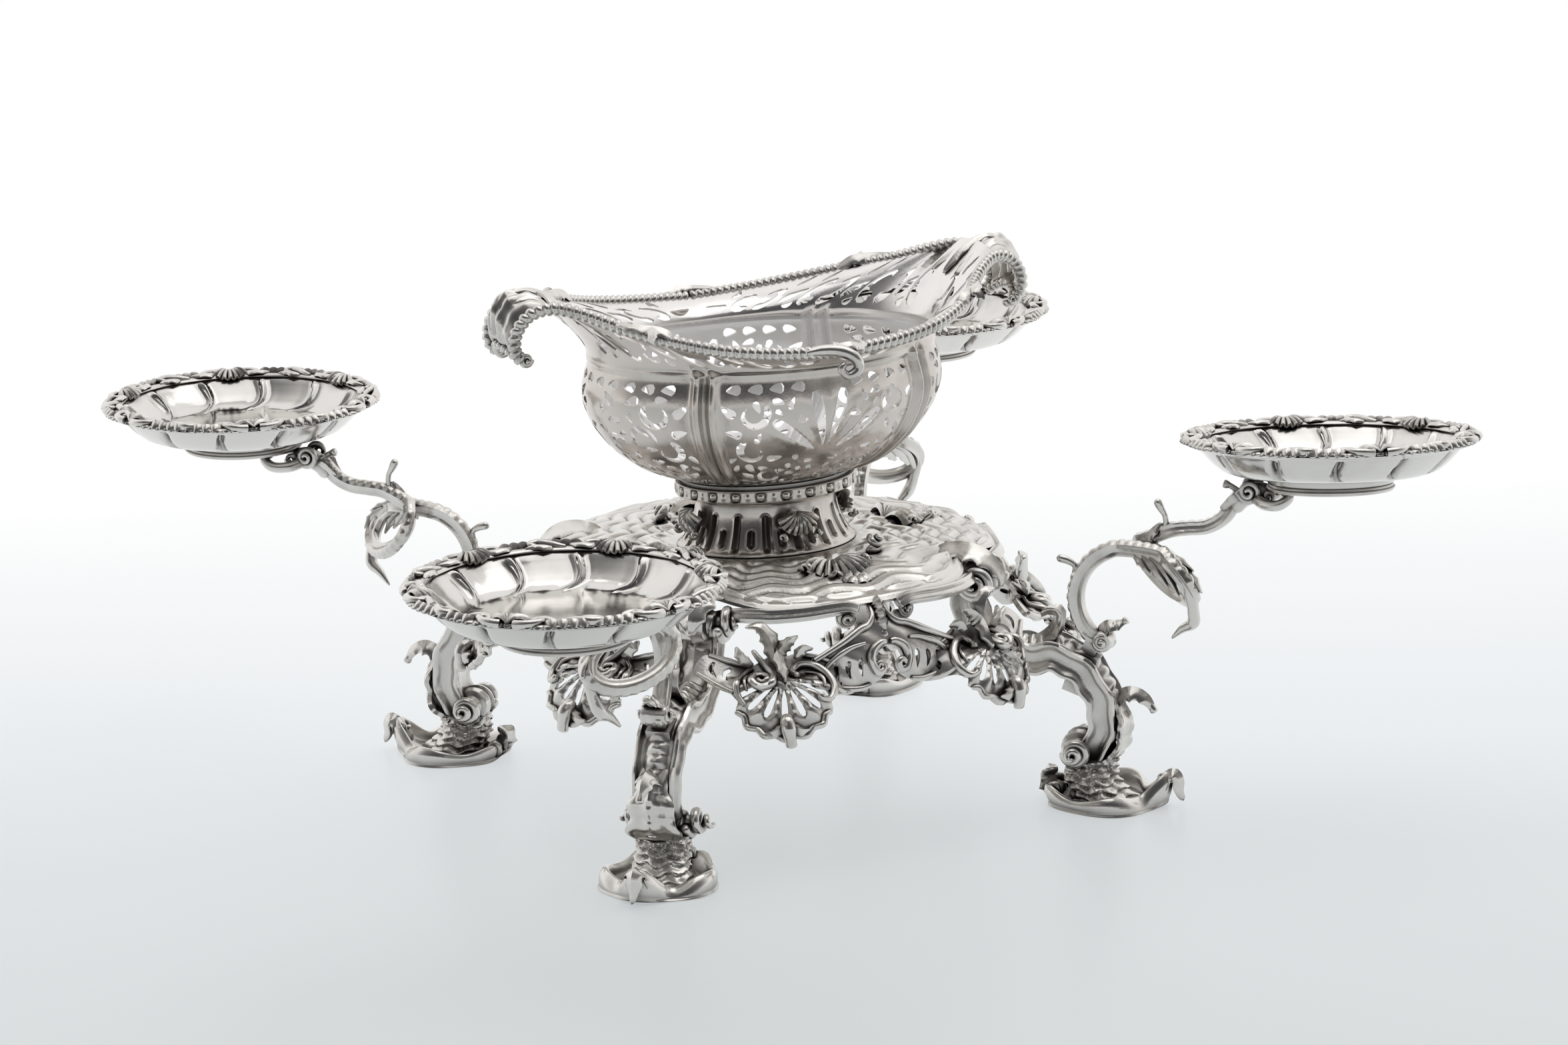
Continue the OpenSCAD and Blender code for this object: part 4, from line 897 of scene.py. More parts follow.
def branch(corner):
    rise = RING_TOP[corner] - 6 - LOOP_TOP
    foot, block = on_scroll(246), np.array((BLOCK_S, 0, RING_TOP[corner] - 2))
    line = [on_scroll(a) for a in np.linspace(248, 96, 9)] + [on_loop(a) for a in np.linspace(64, -256, 15)]
    line += [(LOOP_S + x, 0, LOOP_TOP + z * rise) for x, z in RISE]
    length = distance_along(even(line, 200))[-1]
    beak = [on_loop(12), on_loop(-16), *BEAK]
    pieces = [
        swept("stem", line, strap(4.3, 0.8, 5.4, length), 32, 320, (-0.4, 0, -0.9)),
        swept("beak", beak, bar(3.2, 4.0, 3.3, 3.6, 2.4, 0.7), 16, 50, (1, 0, 0)),
        swept("foot_roll", crossbar(foot + (-2, 0, 3), 8), bar(5.2, 6.2, 5.2, reach=0.1), 18, 14, (1, 0, 0)),
        leaf("foot_leaf", near(foot, (-5, 0, 8), (0, 0, 12), (5, 0, 12.5), (11, 0, 14.5)), 13, 4, 0.35, 2.2),
        tendril(near(foot, (3, 0, 11.5), (6, 0, 12), (9, 0, 13.5), (11.5, 0, 16)), 3.2),
        tendril([on_scroll(*tip) for tip in SCROLL_TIP]),
        tendril(upright(*LOOP_TIP, z=LOOP_TOP), 3.4),
        leaf("bud", upright((221, -3), (226, 5), (232, 11), z=LOOP_TOP), 8, 3, 0.35, 2.4, (-1, 0, 1)),
        leaf("block_leaf", near(block, (-14, 0, -18), (-6, 0, -12), (3, 0, -9), (13, 0, -7)),
             17, 3, 0.35, 3, (0, 0, -1)),
        swept("block", near(block, (-8, 0, -18), (-3, 0, -10), (5, 0, -6), (15, 0, -6)),
              bar(3.6, 5.4, 6, 4, reach=0.12), 16, 40),
        tendril(near(block, (-3, 0, -8), (-9, 0, -3.5), (-14, 0, -2)), 3.0),
        *curls("foot_curl", foot + (-2, 3, 3), 7.0, 7, 2.0),
        *curls("block_curl", block + (2, 6, -4), 8.6, 6, 2.0, 0.28),
        *curls("block_curl", block + (13, 4, -6.5), 5.4, 6, 1.7, 0.36)]
    pieces += [leaf("feather", points, 7, 3, 0.3, 2, (0, -1, 0.4)) for points in FEATHERS]
    for way in (-1, 1):
        prong = [block + (x, way * y, z) for x, y, z in PRONG]
        pieces.append(swept("prong", prong, bar(3.4, 3.2, 3.0, 2.4), 12, 44))
    return joined("scroll_branch_" + corner, pieces)


for corner, turn in CORNERS.items():
    settle(moved(branch(corner), about_z(turn)), "arm_" + corner, cast_silver, "branch_" + corner)
print("branches: 4")

# %% [markdown]
# ## Legs and feet
# A leg drops from the platform, arches outwards, bends down and rolls under itself onto a
# rocky foot. Its outer face is a channel with a scaly ridge, its flanks are hollow between
# beaded edges, and a frilled skirt hangs over its lower bend. One leg and one foot are
# modelled on the diagonal and copied to the four corners. Blocking the leg out from a box
# would take many extrusions, and one outline swept along its line gives the same form.

# %% One leg
LEG = upright((121, 128), (120, 116), (124, 98), (136, 88.5), (154.5, 84.5), (171, 85.5), (185, 79.5),
              (194.5, 68), (199, 54), (198, 42), (193.5, 31), (186, 25.5), (178, 27))
LEG_SECTION = [(1.02, 0), (1.0, 0.2), (0.9, 0.42), (0.74, 0.62), (0.82, 0.78), (1.08, 0.9), (0.9, 1.08),
               (0.62, 0.98), (0.42, 0.8), (0, 0.72), (-0.45, 0.78), (-0.7, 0.98), (-0.94, 1.04), (-1.1, 0.86),
               (-1.0, 0.4)]
LEG_SECTION = np.array(LEG_SECTION + [(-1.02, 0)] + [(x, -y) for x, y in LEG_SECTION[:0:-1]])
LEG_DEEP, LEG_WIDE = 7.8, 11
leg_length = distance_along(even(LEG, 200))[-1]


def leg_section(angle, share):
    ring = np.vstack([LEG_SECTION[-1:], LEG_SECTION, LEG_SECTION[:2]])
    x, y = through(ring, 1 + angle / TAU * len(LEG_SECTION)).T
    scale = 0.3 * np.abs(np.sin(math.pi * share * leg_length / 6.5)) * hump(y, 0.42) * (x > 0)
    wave = 0.1 * np.sin(TAU * share * leg_length / 19) * hump(np.abs(y) - 0.95, 0.2)
    x = x + scale + wave
    size = np.interp(share, (0, 0.2, 0.42, 0.5, 0.75, 1), (1, 0.98, 1.12, 1.06, 1.0, 0.9))
    size = rounded(share, 0.012) * size
    return LEG_DEEP * x * size, LEG_WIDE * y * size


def rolled(name, at, radius, half):
    """A sheet rolled up across the leg, stepping down to a knob at each end."""
    def section(angle, share):
        out = np.abs(2 * share - 1)
        ledge = (angle / TAU + 1.6 * out) % 1
        size = np.interp(out, (0, 0.42, 0.5, 0.72, 0.78, 0.9, 1), (0.96, 0.92, 0.66, 0.58, 0.34, 0.3, 0.26))
        r = radius * size * (1.06 - 0.16 * ledge) * rounded(share, 0.03)
        return r * np.cos(angle), r * np.sin(angle)
    return swept(name, crossbar(at, half), section, 40, 80, (1, 0, 0))


SKIRT = upright((203, 66), (210.5, 54), (212, 42), (208, 31), (200, 25))
SKIRT_HALF = (7, 10, 12.5, 14.5, 13)


def skirt_form(u, v):
    side = 2 * u - 1
    point = through(SKIRT, 4 * v)
    half = np.interp(v, np.linspace(0, 1, 5), SKIRT_HALF) + 1.6 * np.sin(6 * math.pi * v + 0.8)
    out = -3.6 * np.abs(side) ** 3 + 1.2 * np.abs(np.sin(4 * math.pi * v))
    out = out + 1.4 * hump(side, 0.13) * np.abs(np.sin(5.5 * math.pi * v))
    out = out - 1.3 * hump(np.abs(side) - 0.45, 0.28)
    return point + np.stack([out, half * side, 0.3 * out], 1)


leg = joined("leg", [
    swept("shank", LEG, leg_section, 62, 240, (1, 0, 0)),
    modified(raised("skirt", 30, 40, skirt_form), "SOLIDIFY", thickness=2.6 * MM, offset=0),
    rolled("top_roll", (127, 0, 127), 12, 16),
    rolled("low_roll", (184.5, 0, 32), 10.5, 15),
    *curls("top_curl", (128, 15, 128), 12.5, 9, 2.4, 0.27),
    *curls("low_curl", (184.5, 12, 32), 10.5, 15, 2.5, 0.33),
    leaf("corner_leaf", upright((100, 141), (114, 143.5), (128, 140.5), (138, 131), (138, 121)),
         30, 5, 0.12, 2.4),
    leaf("knee", upright((126, 120), (131, 104), (141, 95), (155, 92.5)), 20, 5, 0.2, 2.2, (1, 0, 0)),
    leaf("arch_leaf", upright((138, 94), (150, 91), (161, 93), (170, 101), (171.5, 109), (165, 110),
                              (162, 106)), 19, 5, 0.3, 2.8),
    leaf("bend_leaf", upright((202, 54), (206, 62), (214, 66), (222, 63), (227, 55)), 15, 4, 0.35, 2.6),
    tendril(upright((214, 65.5), (221, 63.5), (225, 58.5), (227.5, 54))),
    swept("arch_roll", crossbar((154, 0, 77), 10), bar(3.4, 4.6, 3.4, reach=0.12), 14, 14, (1, 0, 0))])
print("leg:", round(leg_length), "mm along its line,", len(leg.data.polygons), "faces")

# %% One foot
FOOT_WAVES, FOOT_S = 5, 199.5
# Each row holds a height, a radius, waves in plan, waves in height and a share of the lip.
FOOT_RINGS = np.array([
    (0, 0, 0, 0, 0), (0, 29.6, 1.2, 0, 0.1), (1.8, 31.4, 1.8, 0.3, 0.4), (5, 31.6, 2.0, 1.6, 0.9),
    (7, 29.4, 1.9, 2.4, 1), (6, 26.8, 1.6, 2.2, 0.9), (2.6, 24.2, 1.0, 0.9, 0.5), (2.2, 21, 0.6, 0.3, 0.2),
    (4.4, 17.6, 0.9, 0.4, 0.05), (8.4, 15.8, 1.0, 0.4, 0), (12.6, 15, 0.8, 0.3, 0), (17, 14.4, 0.8, 0.3, 0),
    (21.4, 14, 0.5, 0.2, 0), (26.4, 14, 0.3, 0, 0), (26.6, 0, 0, 0, 0)])


def foot_form(u, v):
    z, r, plan, lift, lip = through(FOOT_RINGS, v * (len(FOOT_RINGS) - 1)).T
    angle = TAU * u
    wave = np.cos(FOOT_WAVES * angle + 0.7 * np.sin(2 * angle)) + 0.4 * np.cos(3 * angle + 1)
    lip = lip * np.maximum(np.cos(angle), 0) ** 20
    on_rock = unit((24 - r) / 3) * unit(r / 12) * unit((26.5 - z) / 2)
    rocks = 0.9 * np.sin(1.5 * z + 1.4 * np.sin(7 * angle + 0.8)) + 0.4 * np.sin(12 * angle + 0.6 * z)
    r = np.maximum(r + plan * wave + 7 * lip + rocks * on_rock, 0)
    s = FOOT_S - 8.5 * unit((z - 2) / 12)
    z = np.maximum(z + lift * (0.9 + wave) + 8 * lip, 0)
    return np.stack([s + r * np.cos(angle), r * np.sin(angle), z], 1)


foot = joined("foot", [
    raised("rocks", 168, 90, foot_form),
    leaf("tip", upright((225, 7), (231, 11), (235, 17.5), (239, 19.5), (241.5, 15), (241.5, 9), (244, 3.5)),
         14, 4, 0.3, 2.8),
    leaf("heel", upright((176, 6), (169, 8), (166, 14), (171, 18)), 20, 4, 0.3, 2.6),
    *curls("tip_curl", (231.5, 1.5, 15), 4.6, 5, 1.8, 0.42),
    *curls("heel_curl", (170, 6, 8), 6.5, 8, 1.8, 0.42)])
set_round(CORNERS, (leg, "cast_leg_", "leg_"), (foot, "cast_foot_", "foot_"))
print("legs and feet: 4")

# %% [markdown]
# ## Platform, spool and gallery
# The platform is a raised dome chased with waves, notched at the corners for the legs. The
# spool is an oval with long and short upright slots, and the gallery's band alternates large
# and small ovals. Each is a polar grid whose rule adds the chasing. A displacement texture
# could push up the waves, but only a rule ends them neatly at the edge.

# %% Platform
PLATFORM = np.array([(0, 143), (54, 143), (93, 142.2), (112, 140.4), (126, 137.6), (132, 135.5)])
PLATFORM_R, NOTCH, WAVE = 132.0, 16.0, 12.5


def platform_form(u, v):
    angle = TAU * u
    off = (angle + math.pi / 4) % (math.pi / 2)
    off = np.minimum(off, math.pi / 2 - off)
    edge = PLATFORM_R - NOTCH * hump(off, 0.2)
    up = v < 0.86
    r = edge * unit(np.where(up, v / 0.84, (1 - v) / 0.14))
    height = np.interp(r, PLATFORM[:, 0], PLATFORM[:, 1])
    flow = r / WAVE + 0.3 * np.sin(18 * angle + 1.2 * np.sin(3 * angle)) + 0.4 * np.sin(5 * angle + r / 40)
    wave = 3.0 * np.abs(np.sin(math.pi * flow)) ** 0.8 + 0.5 * np.sin(9 * angle - r / 9) * np.sin(r / 13)
    wave = wave * unit((r - 54) / 8) * unit((edge - r - 2) / 7)
    bead = 1.7 * hump(edge - r - 2.5, 1.8) + 0.9 * hump(edge - r - 7.5, 1.2)
    z = np.where(up, height + wave + bead, height - 3)
    return polar(r, angle, z)


platform = raised("chased_platform", 540, 124, platform_form)
settle(platform, "stand", cast_silver, "platform", angle=50)
print("platform:", len(platform.data.polygons), "faces")

# %% Edge scrolls under the platform
def around(turn, r, z):
    """A point at a turn from the middle of the front."""
    return np.array((r * math.sin(math.radians(turn)), -r * math.cos(math.radians(turn)), z))


def moulding(angle, share):
    """Two reeds over a hollow."""
    reed = 0.16 * np.cos(5 * angle) * (np.cos(angle) > -0.3)
    size = rounded(share, 0.02) * np.interp(share, (0, 0.3, 1), (0.72, 1, 0.9))
    return 4.4 * (1 + reed) * np.cos(angle) * size, 4.0 * (1 + reed) * np.sin(angle) * size


def outward(turn):
    return around(turn, 1, 0)


EDGE_LINE = ((42, 118, 128), (38.5, 123.5, 130.6), (34, 128.5, 132.4), (29, 131, 132.8), (25, 131.5, 132.6),
             (18, 131.5, 133.2), (12, 132, 134.4), (8, 132.5, 134.6), (5.2, 132.5, 132))
rail = joined("rail", [
    swept("edge_moulding", [around(*point) for point in EDGE_LINE], moulding, 24, 120, outward(36)),
    snail("edge_volute", around(8, 129, 128.5), outward(8), 7.2, 7, 2.2, 0.36)])
modified(rail, "MIRROR", use_axis=(True, False, False), use_mirror_merge=False)
set_round(SIDES, (rail, "edge_scrolls_", "rail_"))
print("edge mouldings: 4 pairs")

# %% Spool
SPOOL_SLOTS, SPOOL_GIRTH, SLOT_R = 32, 250, 1.7
SPOOL_A, SPOOL_B, SPOOL_Z, SPOOL_H = 41, 32, 143, 31


def spool_form(u, v):
    angle = TAU * u
    h = unit((v - 0.08) / 0.84)
    middle = unit(np.minimum(v / 0.08, (1 - v) / 0.08))
    flare = 11 * (1 - h) ** 2.2 + 1.5 * h ** 6 + 1.6 * hump(h - 0.03, 0.05) + 1.2 * hump(h - 0.97, 0.04)
    slot = u * SPOOL_SLOTS
    beside = (slot - np.rint(slot)) * SPOOL_GIRTH / SPOOL_SLOTS
    long = np.rint(slot) % 2 == 0
    foot, head = np.where(long, 0.06, 0.12), np.where(long, 0.72, 0.46)
    beyond = SPOOL_H * np.maximum(np.maximum(foot + 0.07 - h, h - head + 0.07), 0)
    groove = np.sqrt(unit(1 - (np.hypot(beside, beyond) / SLOT_R) ** 2))
    flare = flare - 4.2 * groove + 0.5 * hump(np.hypot(beside, beyond) - 2.2, 0.6)
    x, y = (SPOOL_A + flare) * np.cos(angle), (SPOOL_B + flare) * np.sin(angle)
    return np.stack([x * middle, y * middle, SPOOL_Z + SPOOL_H * h], 1)


settle(raised("slotted_spool", 480, 64, spool_form), "stand", sheet_silver, "spool", angle=60)
print("spool:", SPOOL_SLOTS, "slots")

# %% Gallery
GALLERY_A, GALLERY_B, GALLERY_Z, UNITS, PITCH = 54, 42, 174, 22, 13.7
GALLERY = np.array([(-GALLERY_A, 0), (-2.4, 0), (-0.5, 0.2), (0, 1), (0, 6.4), (-0.5, 7.2), (-2.4, 7.4),
                    (-2.4, 2.4), (-GALLERY_A, 2.4)])
gallery_run = (0, 0.08, 0.14, 0.2, 0.76, 0.82, 0.88, 0.94, 1)


def gallery_form(u, v):
    inset, z = (np.interp(v, gallery_run, axis) for axis in GALLERY.T)
    angle = TAU * u
    x = (u * UNITS - np.rint(u * UNITS)) * PITCH
    outside = (inset > -0.1) * 1.0
    oval = np.hypot(x / 2.1, (z - 3.7) / 2.5)
    large = 0.9 * hump(oval, 0.7) - 1.6 * hump(oval - 1.2, 0.24)
    small = hump(np.hypot((np.abs(x) - PITCH / 2) / 1.3, (z - 3.7) / 2.2), 0.8)
    edge = inset + outside * (0.9 * large + 0.8 * small - 0.4)
    floor = np.where(inset < -10, GALLERY_B / GALLERY_A, 1)
    a, b = np.maximum(GALLERY_A + edge, 0), np.maximum(GALLERY_B + edge * floor, 0)
    return np.stack([a * np.cos(angle), b * np.sin(angle), GALLERY_Z + z], 1)


settle(raised("beaded_gallery", UNITS * 26, 50, gallery_form), "stand", sheet_silver, "gallery", angle=50)
print("gallery:", UNITS, "large ovals")

# %% [markdown]
# ## Shells on the platform and the spool
# At the middle of each side a scallop lies on the dome with a snail shell, a limpet and
# coral beside it, and a smaller scallop stands against the spool. They come from the same
# rules as the borders' shells, so one cluster is made for the front and turned to each side.

# %% One cluster, for the front
large = moved(scallop("large_shell", 22, 11, 165, 0.34, 1.8),
              framed((0, -76, 141.8), (1, 0, 0), (0, 0.99, 0.12), (0, -0.12, 0.99)))
limpet = moved(scallop("limpet", 8, 7, 330, 0.5, 1.2),
               framed((1, -106, 140.5), (1, 0, 0), (0, 1, 0), (0, 0, 1)))
coral = [swept("coral", [(-9 + x, -96, 141), (-10 + x, -100 - k, 145), (-11 + x + 2 * k, -103, 146 + k)],
               bar(1.8, 1.6, 1.2, reach=0.1), 8, 12) for k, x in ((0, 0), (1, 2), (2, -2))]
cluster = joined("shell_cluster", [
    large, snail("sea_snail", (34, -62, 148), (0.5, -0.6, 0.6), 7.5, 9, 2.4, 0.42), limpet, *coral,
    *[snail("shell_end", (16 * way, -84, 146), (way, -0.1, 0.1), 5.5, 7, 1.8, 0.4) for way in (1, -1)]])
small = joined("spool_cluster", [
    moved(scallop("small_shell", 13, 9, 150, 0.4, 1.4),
          framed((0, -36, 166), (1, 0, 0), (0, 0.3, 0.95), (0, -0.95, 0.3))),
    *[snail("pearl", (9 * way, -42, 154), (way, -0.3, 0), 3.6, 5, 1.6, 0.45) for way in (-1, 1)]])
for side, turn in SIDES.items():
    further = Matrix.Translation((0, 0 if turn % 180 == 0 else (SPOOL_B - SPOOL_A) * MM, 0))
    for pattern, name, seat, node in ((cluster, "shells_", about_z(turn), "wave_shell_"),
                                      (small, "scallop_", about_z(turn) @ further, "spool_shell_")):
        settle(copied(pattern, name + side, seat), "stand", cast_silver, node + side)
for pattern in (cluster, small):
    bpy.data.objects.remove(pattern)
print("shells: 4 on the platform, 4 on the spool")

# %% [markdown]
# ## Aprons
# Under each side two pierced shells lean outwards, joined by a scrolled bracket. The plate
# is fretted flat like the basket and domed over the shell. Its volute, its C scroll and its
# edges are bars laid on the plate; then the wing is leaned into place and mirrored. On a
# plate that already leans, holes and bars would be much harder to place.

# %% One wing, flat
def closed_line(points, count):
    p = np.array(points, float)
    return through(np.vstack([p[-1:], p, p[:2]]), 1 + np.arange(count) * len(p) / count)


FAN_SLOTS, FAN_STEP, FAN_Y = 7, 22.0, 5.0
shell_edge = []
for k in range(2 * FAN_SLOTS + 1):
    a, r = math.radians(-8 - 164 * k / (2 * FAN_SLOTS)), 27 + (1 if k % 2 else -1)
    shell_edge.append((r * math.cos(a), -4 + 1.12 * r * math.sin(a)))
outline = closed_line([
    (-37, 20), (-30, 18), (-24, 20), (-14, 23), (-8, 26), (-2, 24), (6, 24), (12, 20), (20, 17), (30, 22),
    (42, 26), (48, 15), (37, 5)] + shell_edge + [(-33, 0), (-38, 6)], 160)
slots = [ray(0, FAN_Y, 180 + FAN_STEP * (k - (FAN_SLOTS - 1) / 2), 9, 28, 3.5) for k in range(FAN_SLOTS)]
slots += [cut(points, 3.2) for points in (
    [(-33, 15), (-31, 10), (-32, 5)], [(28, 17), (32, 12), (30, 7)], [(37, 21), (39, 16), (36, 10)])]


def plate_height(x, y, ribs=0.0):
    """Height of the wing's face: a dome with ribs on the shell, a soft wave on the bands."""
    fan_r, turn = np.hypot(x, y - FAN_Y), np.degrees(np.arctan2(x, FAN_Y - y))
    on_fan = unit((36 - fan_r) / 7) * unit((11 - y) / 8)
    rib = -np.cos(TAU * turn / FAN_STEP) * unit(fan_r / 14)
    rib = rib + 0.5 * np.maximum(rib, 0) * np.cos(TAU * fan_r / 6.5)
    dome = 7.0 * np.sqrt(unit(1 - (fan_r / 38) ** 2))
    bend = 0.03 * np.maximum(-16 - x, 0) ** 2
    return on_fan * (dome + ribs * rib) + (1 - on_fan) * 0.8 * np.sin(x / 5) - bend


def plate(name, edge, openings, xs, ys, height):
    """A fretted sheet, pushed up to a height at each place and given its thickness."""
    piece = ruled(fretted(name, edge, openings), xs, ys)
    x, y = places(piece)[:, :2].T
    place(piece, np.stack([x, y, height(x, y)], 1) * MM)
    return modified(outwards(piece, (0, 0, -300)), "SOLIDIFY", thickness=2.6 * MM, offset=-1)


def leaned(at, turn, lean):
    """A matrix that leans a flat plate, turns it about the upright and sets it in its place."""
    return Matrix.Translation(Vector(at) * MM) @ about_z(turn) @ Matrix.Rotation(math.radians(lean), 4, "X")


wing = plate("wing", outline, slots, np.arange(-57, 49, 1.8), np.arange(-36, 37, 1.8),
             lambda x, y: plate_height(x, y, 1.0))

# %% Scrolls and leaves on the wing
def curled(lead, centre, turns, last=0.2):
    """A flat line that ends in a spiral about a centre; turns below 0 wind clockwise."""
    lead, centre = np.array(lead, float), np.array(centre, float)
    arm = lead[-1] - centre
    t = np.linspace(0, 1, int(14 * abs(turns)) + 1)[1:, None]
    r = np.hypot(*arm) * (1 - (1 - last) * t)
    a = math.atan2(arm[1], arm[0]) + TAU * turns * t
    return np.vstack([lead, centre + r * np.hstack([np.cos(a), np.sin(a)])])


def relief(line, *radii, lift=0.6, rings=44, ground=plate_height):
    """A raised bar along a flat line on the plate."""
    line = np.asarray(line, float)
    return swept("relief", np.column_stack([line, ground(line[:, 0], line[:, 1]) + lift]),
                 bar(*radii, reach=0.03), 10, rings)


edging = [
    relief(curled([(16, 28), (13, 22), (9, 15.5), (5.5, 8), (6, 1)], (12, 4), 1.5),
           1.4, 2.4, 2.7, 2.3, 1.2, lift=2, rings=90),
    relief([(-9, 7), (-6, 9), (-5.5, 13), (-10, 17), (-17.5, 15.5), (-24.5, 8.5), (-27.5, -1), (-25, -9),
            (-21, -10), (-19.5, -6.5)],
           2.5, 1.9, 2.5, 2.6, 2.0, 2.3, lift=1.6, rings=80),
    relief([(-12, 12), (-17, 10.5), (-21.5, 5), (-22.5, -2)], 0.8, 1.3, 0.8, lift=0.9),
    relief([(13, 13), (18, 10.5), (21, 4), (20, -4)], 0.8, 1.3, 0.8, lift=0.9),
    relief(closed_line(shell_edge, 60)[4:-8], 1.8, 2.3, 1.8, rings=120),
    relief([(16, 16), (22, 10), (25.5, 2), (25, -6), (21, -14)], 1.3, 2.2, 1.4, lift=1),
    relief([(-10, 25), (-22, 21), (-30, 19), (-37, 20)], 1.5, 2.1, 1.8),
    relief([(-27, 0), (-33, 1), (-38, 6)], 1.4, 1.9, 1.6),
    relief([(18, 17), (30, 22), (40, 26)], 1.3, 2.0, 1.2),
    relief([(27, -4), (37, 5), (47, 14)], 1.4, 1.9, 1.2),
    leaf("keel", [(4, 26, 9), (2, 17, 10), (0, 9, 10), (-1, 0, 9)], 9, 3, 0.35, 3),
    leaf("crest", [(4, 15, 5), (5, 24, 10), (8, 31, 15), (13, 35, 18), (20, 35, 17)], 12, 4, 0.35, 3),
    leaf("crest", [(4, 17, 6), (1, 23, 10), (-4, 27, 13), (-9, 31, 12)], 10, 4, 0.35, 3),
    leaf("side_leaf", [(-7, 19, 4), (-11, 25, 7), (-17, 26, 4)], 8, 3, 0.3, 2.2),
    leaf("side_leaf", [(16, 15, 4), (22, 20, 8), (25, 27, 8)], 8, 3, 0.3, 2.2),
    swept("drop", [(0, -22, 7), (-1, -29, 9), (-2, -36, 6), (-3, -42, 1)],
          bar(2.6, 3.9, 4.2, 3.2, 3.3, reach=0.1), 14, 40),
    leaf("drop_left", [(-1, -27, 6), (-8, -32, 6), (-13, -30, 3)], 8, 3, 0.3, 2),
    leaf("drop_right", [(-1, -27, 6), (6, -33, 6), (11, -32, 3)], 8, 3, 0.3, 2)]
wing = joined("wing", [wing] + edging)
flatten = Matrix.Translation(Vector((0, -6.3, 0)) * MM) @ Matrix.Scale(0.85, 4, (0, 1, 0))
moved(wing, leaned((61, -136, 101.5), 25, 48) @ flatten)
wing.data.update()
print("wing:", len(wing.data.polygons), "faces")

# %% The bracket between two wings, and four aprons
def level(x, y):
    """Height of the bracket's face, bulging in the middle and softly waved."""
    return 3.0 - 0.004 * x ** 2 - 0.012 * (y + 20) ** 2 + 0.6 * np.sin(x / 3.3 + y / 2.6)


half = [(4, 2), (5, -7), (9, -11), (15, -12.5), (26, -18), (38, -22), (45, -25), (45, -38), (31, -42),
        (17, -44), (9, -42), (5, -38), (8.5, -32), (6, -26)]
edge = closed_line(half + [(0, -23.5)] + [(-x, y) for x, y in half[::-1]], 120)
slits = [cut([(way * (17 + 7 * k), -28 - k), (way * (18 + 7 * k), -33), (way * (17 + 7 * k), -38)], 3.2)
         for way in (-1, 1) for k in range(4)]
bracket = [plate("saddle", edge, slits, np.arange(-44, 45, 2.0), np.arange(-44, 4, 2.0), level),
           swept("boss", [(0, -17, z) for z in (0, 1.6, 3.2)], bar(3.4, 3.0, 1.8, reach=0.25), 14, 8,
                 (1, 0, 0))]
bracket += [leaf("husk", [(0, 4 - 5 * k, 1), (0, -k * 5, 4), (0, -6 - 5 * k, 3)], 8 + k, 3, 0.4, 2)
            for k in range(3)]
scrolled = curled([(1, -22), (5, -22), (10, -25.5), (11.5, -31), (9.5, -36.5)], (7, -34.5), -1.1, 0.3)
BRACKET_BARS = (
    ([(4, 1), (5, -6), (9, -11), (15, -13), (26, -18.5), (44, -25.5)], (1.3, 2.0, 2.2, 1.8, 1.6)),
    (scrolled, (1.6, 2.6, 2.4, 1.6)),
    ([(13, -21), (22, -22), (32, -26), (40, -32)], (1.0, 1.8, 1.2)),
    ([(12, -43), (20, -44), (31, -42), (44, -38)], (1.4, 1.9, 1.4)))
for way in (-1, 1):
    for line, radii in BRACKET_BARS:
        bracket.append(relief(np.array(line) * (way, 1), *radii, lift=0.8, ground=level))
bracket = moved(joined("bracket", bracket), leaned((0, -131, 134), 0, 64))
apron = joined("apron", [wing, copied(wing, "twin", Matrix.Scale(-1, 4, (1, 0, 0))), bracket])
print("aprons: 4 of", len(apron.data.polygons), "faces")
set_round(SIDES, (apron, "pierced_apron_", "apron_"))

# %% [markdown]
# ## Camera, floor and light
# The camera was worked out from the four feet and the dish rims. The floor is pale and
# fades into a white surround: its glow is painted light, grey-blue near the camera and white
# far off, laid over a lit floor near the stand so that it keeps its shadow. The light is one
# wide soft source above with the bright surround around it. Polished silver shows little but
# what stands around it, so the surround is dark behind the camera, which gives the metal its
# dark streaks.

# %% Camera
AZIMUTH, ELEVATION, ROLL = math.radians(-27.04), math.radians(14.01), math.radians(-1.34)
TARGET = Vector((11.26, 0, 150.8)) * MM
DISTANCE, SENSOR, LENS = 2.4503, 36.0, 97.9

level_share = math.cos(ELEVATION)
back = Vector((math.sin(AZIMUTH) * level_share, -math.cos(AZIMUTH) * level_share, math.sin(ELEVATION)))
bpy.ops.object.camera_add(location=TARGET + back * DISTANCE)
camera = bpy.context.object
camera.data.sensor_width, camera.data.lens = SENSOR, LENS
camera.rotation_mode = "QUATERNION"
tilt = Matrix.Rotation(ROLL, 4, "Z").to_quaternion()
camera.rotation_quaternion = (-back).to_track_quat("-Z", "Y") @ tilt
bpy.context.scene.camera = camera
bpy.context.scene.view_settings.view_transform = "Standard"
print("camera at", [round(x, 3) for x in camera.location])

# %% Floor
def toward(tree, kind, direction):
    """How far a place or a ray goes in a direction, as a socket."""
    where, onward = tree.nodes.new("ShaderNodeTexCoord"), tree.nodes.new("ShaderNodeVectorMath")
    onward.operation = "DOT_PRODUCT"
    onward.inputs[1].default_value = direction
    tree.links.new(where.outputs[kind], onward.inputs[0])
    return onward.outputs["Value"]


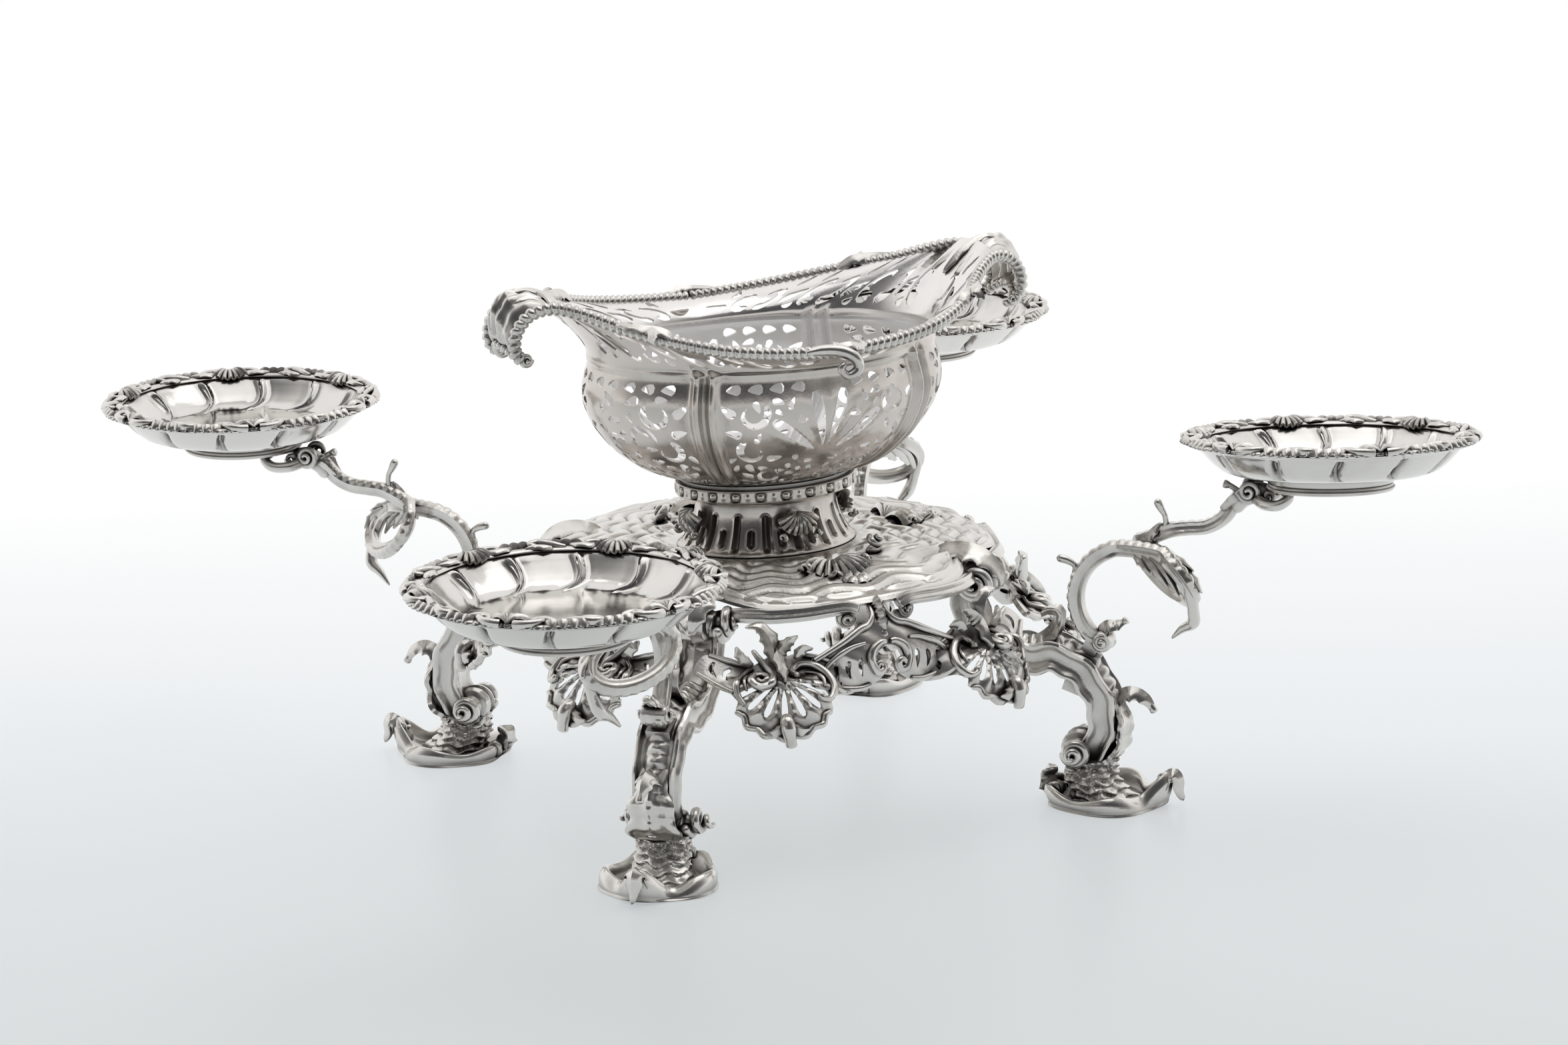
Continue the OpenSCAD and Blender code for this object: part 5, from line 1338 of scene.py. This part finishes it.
FLOOR_NEAR, FLOOR_FAR = -0.6, 0.7
bpy.ops.object.select_all(action="DESELECT")
bpy.ops.mesh.primitive_grid_add(x_subdivisions=8, y_subdivisions=8, size=30)
floor = bpy.context.object
floor.name = "floor"
paper = bpy.data.materials.new("studio_floor")
paper.use_nodes = True
tree = paper.node_tree
nodes, link = tree.nodes, tree.links.new
matt = nodes["Principled BSDF"]
matt.inputs["Base Color"].default_value = (0.86, 0.89, 0.9, 1)
matt.inputs["Roughness"].default_value = 0.3
# Painted light: the floor glows grey-blue near the camera, paler mid-way and white far off; near the stand
# the glow is mixed at 55% over the lit floor.
painted_floor_light, mix = nodes.new("ShaderNodeEmission"), nodes.new("ShaderNodeMixShader")
tones = nodes.new("ShaderNodeValToRGB")
ahead = toward(tree, "Object", Vector((-back.x, -back.y, 0)).normalized())
share = remap(tree, ahead, FLOOR_NEAR, FLOOR_FAR)
link(share, tones.inputs["Fac"])
tones.color_ramp.elements[0].color = (0.70, 0.745, 0.755, 1)
tones.color_ramp.elements[1].color = (1, 1, 1, 1)
tones.color_ramp.elements.new(0.5).color = (0.9, 0.935, 0.955, 1)
link(tones.outputs["Color"], painted_floor_light.inputs["Color"])
link(remap(tree, share, 0.35, 1, 0.55, 1), mix.inputs["Fac"])
link(matt.outputs["BSDF"], mix.inputs[1])
link(painted_floor_light.outputs["Emission"], mix.inputs[2])
link(mix.outputs["Shader"], nodes["Material Output"].inputs["Surface"])
floor.data.materials.append(paper)
print("floor fades from", FLOOR_NEAR, "to", FLOOR_FAR, "m along the view")

# %% Light
world = bpy.data.worlds.new("studio")
bpy.context.scene.world = world
world.use_nodes = True
tree = world.node_tree
nodes, link = tree.nodes, tree.links.new
where, axes = nodes.new("ShaderNodeTexCoord"), nodes.new("ShaderNodeSeparateXYZ")
link(where.outputs["Generated"], axes.inputs[0])
tones = nodes.new("ShaderNodeValToRGB")
link(remap(tree, toward(tree, "Generated", back), -1, 1), tones.inputs["Fac"])
ramp = tones.color_ramp.elements
ramp[0].position, ramp[0].color = 0.42, (1, 1, 1, 1)
ramp[1].position, ramp[1].color = 0.95, (0.07, 0.072, 0.075, 1)
for position, tone in ((0.58, 0.62), (0.72, 0.25)):
    ramp.new(position).color = (tone, tone * 0.995, tone * 0.98, 1)
mix = nodes.new("ShaderNodeMix")
mix.data_type = "RGBA"
mix.inputs["A"].default_value = (1, 1, 1, 1)
link(remap(tree, axes.outputs["Z"], 0.03, 0.16), mix.inputs["Factor"])
link(tones.outputs["Color"], mix.inputs["B"])
link(mix.outputs["Result"], nodes["Background"].inputs["Color"])

SOFTBOX_AT, SOFTBOX_SIZE, SOFTBOX_POWER = (0.2, -0.3, 1.7), (1.6, 1.2), 5
bpy.ops.object.light_add(type="AREA", location=SOFTBOX_AT)
softbox = bpy.context.object
softbox.data.shape = "RECTANGLE"
softbox.data.size, softbox.data.size_y = SOFTBOX_SIZE
softbox.data.energy = SOFTBOX_POWER
print("lights:", softbox.name)
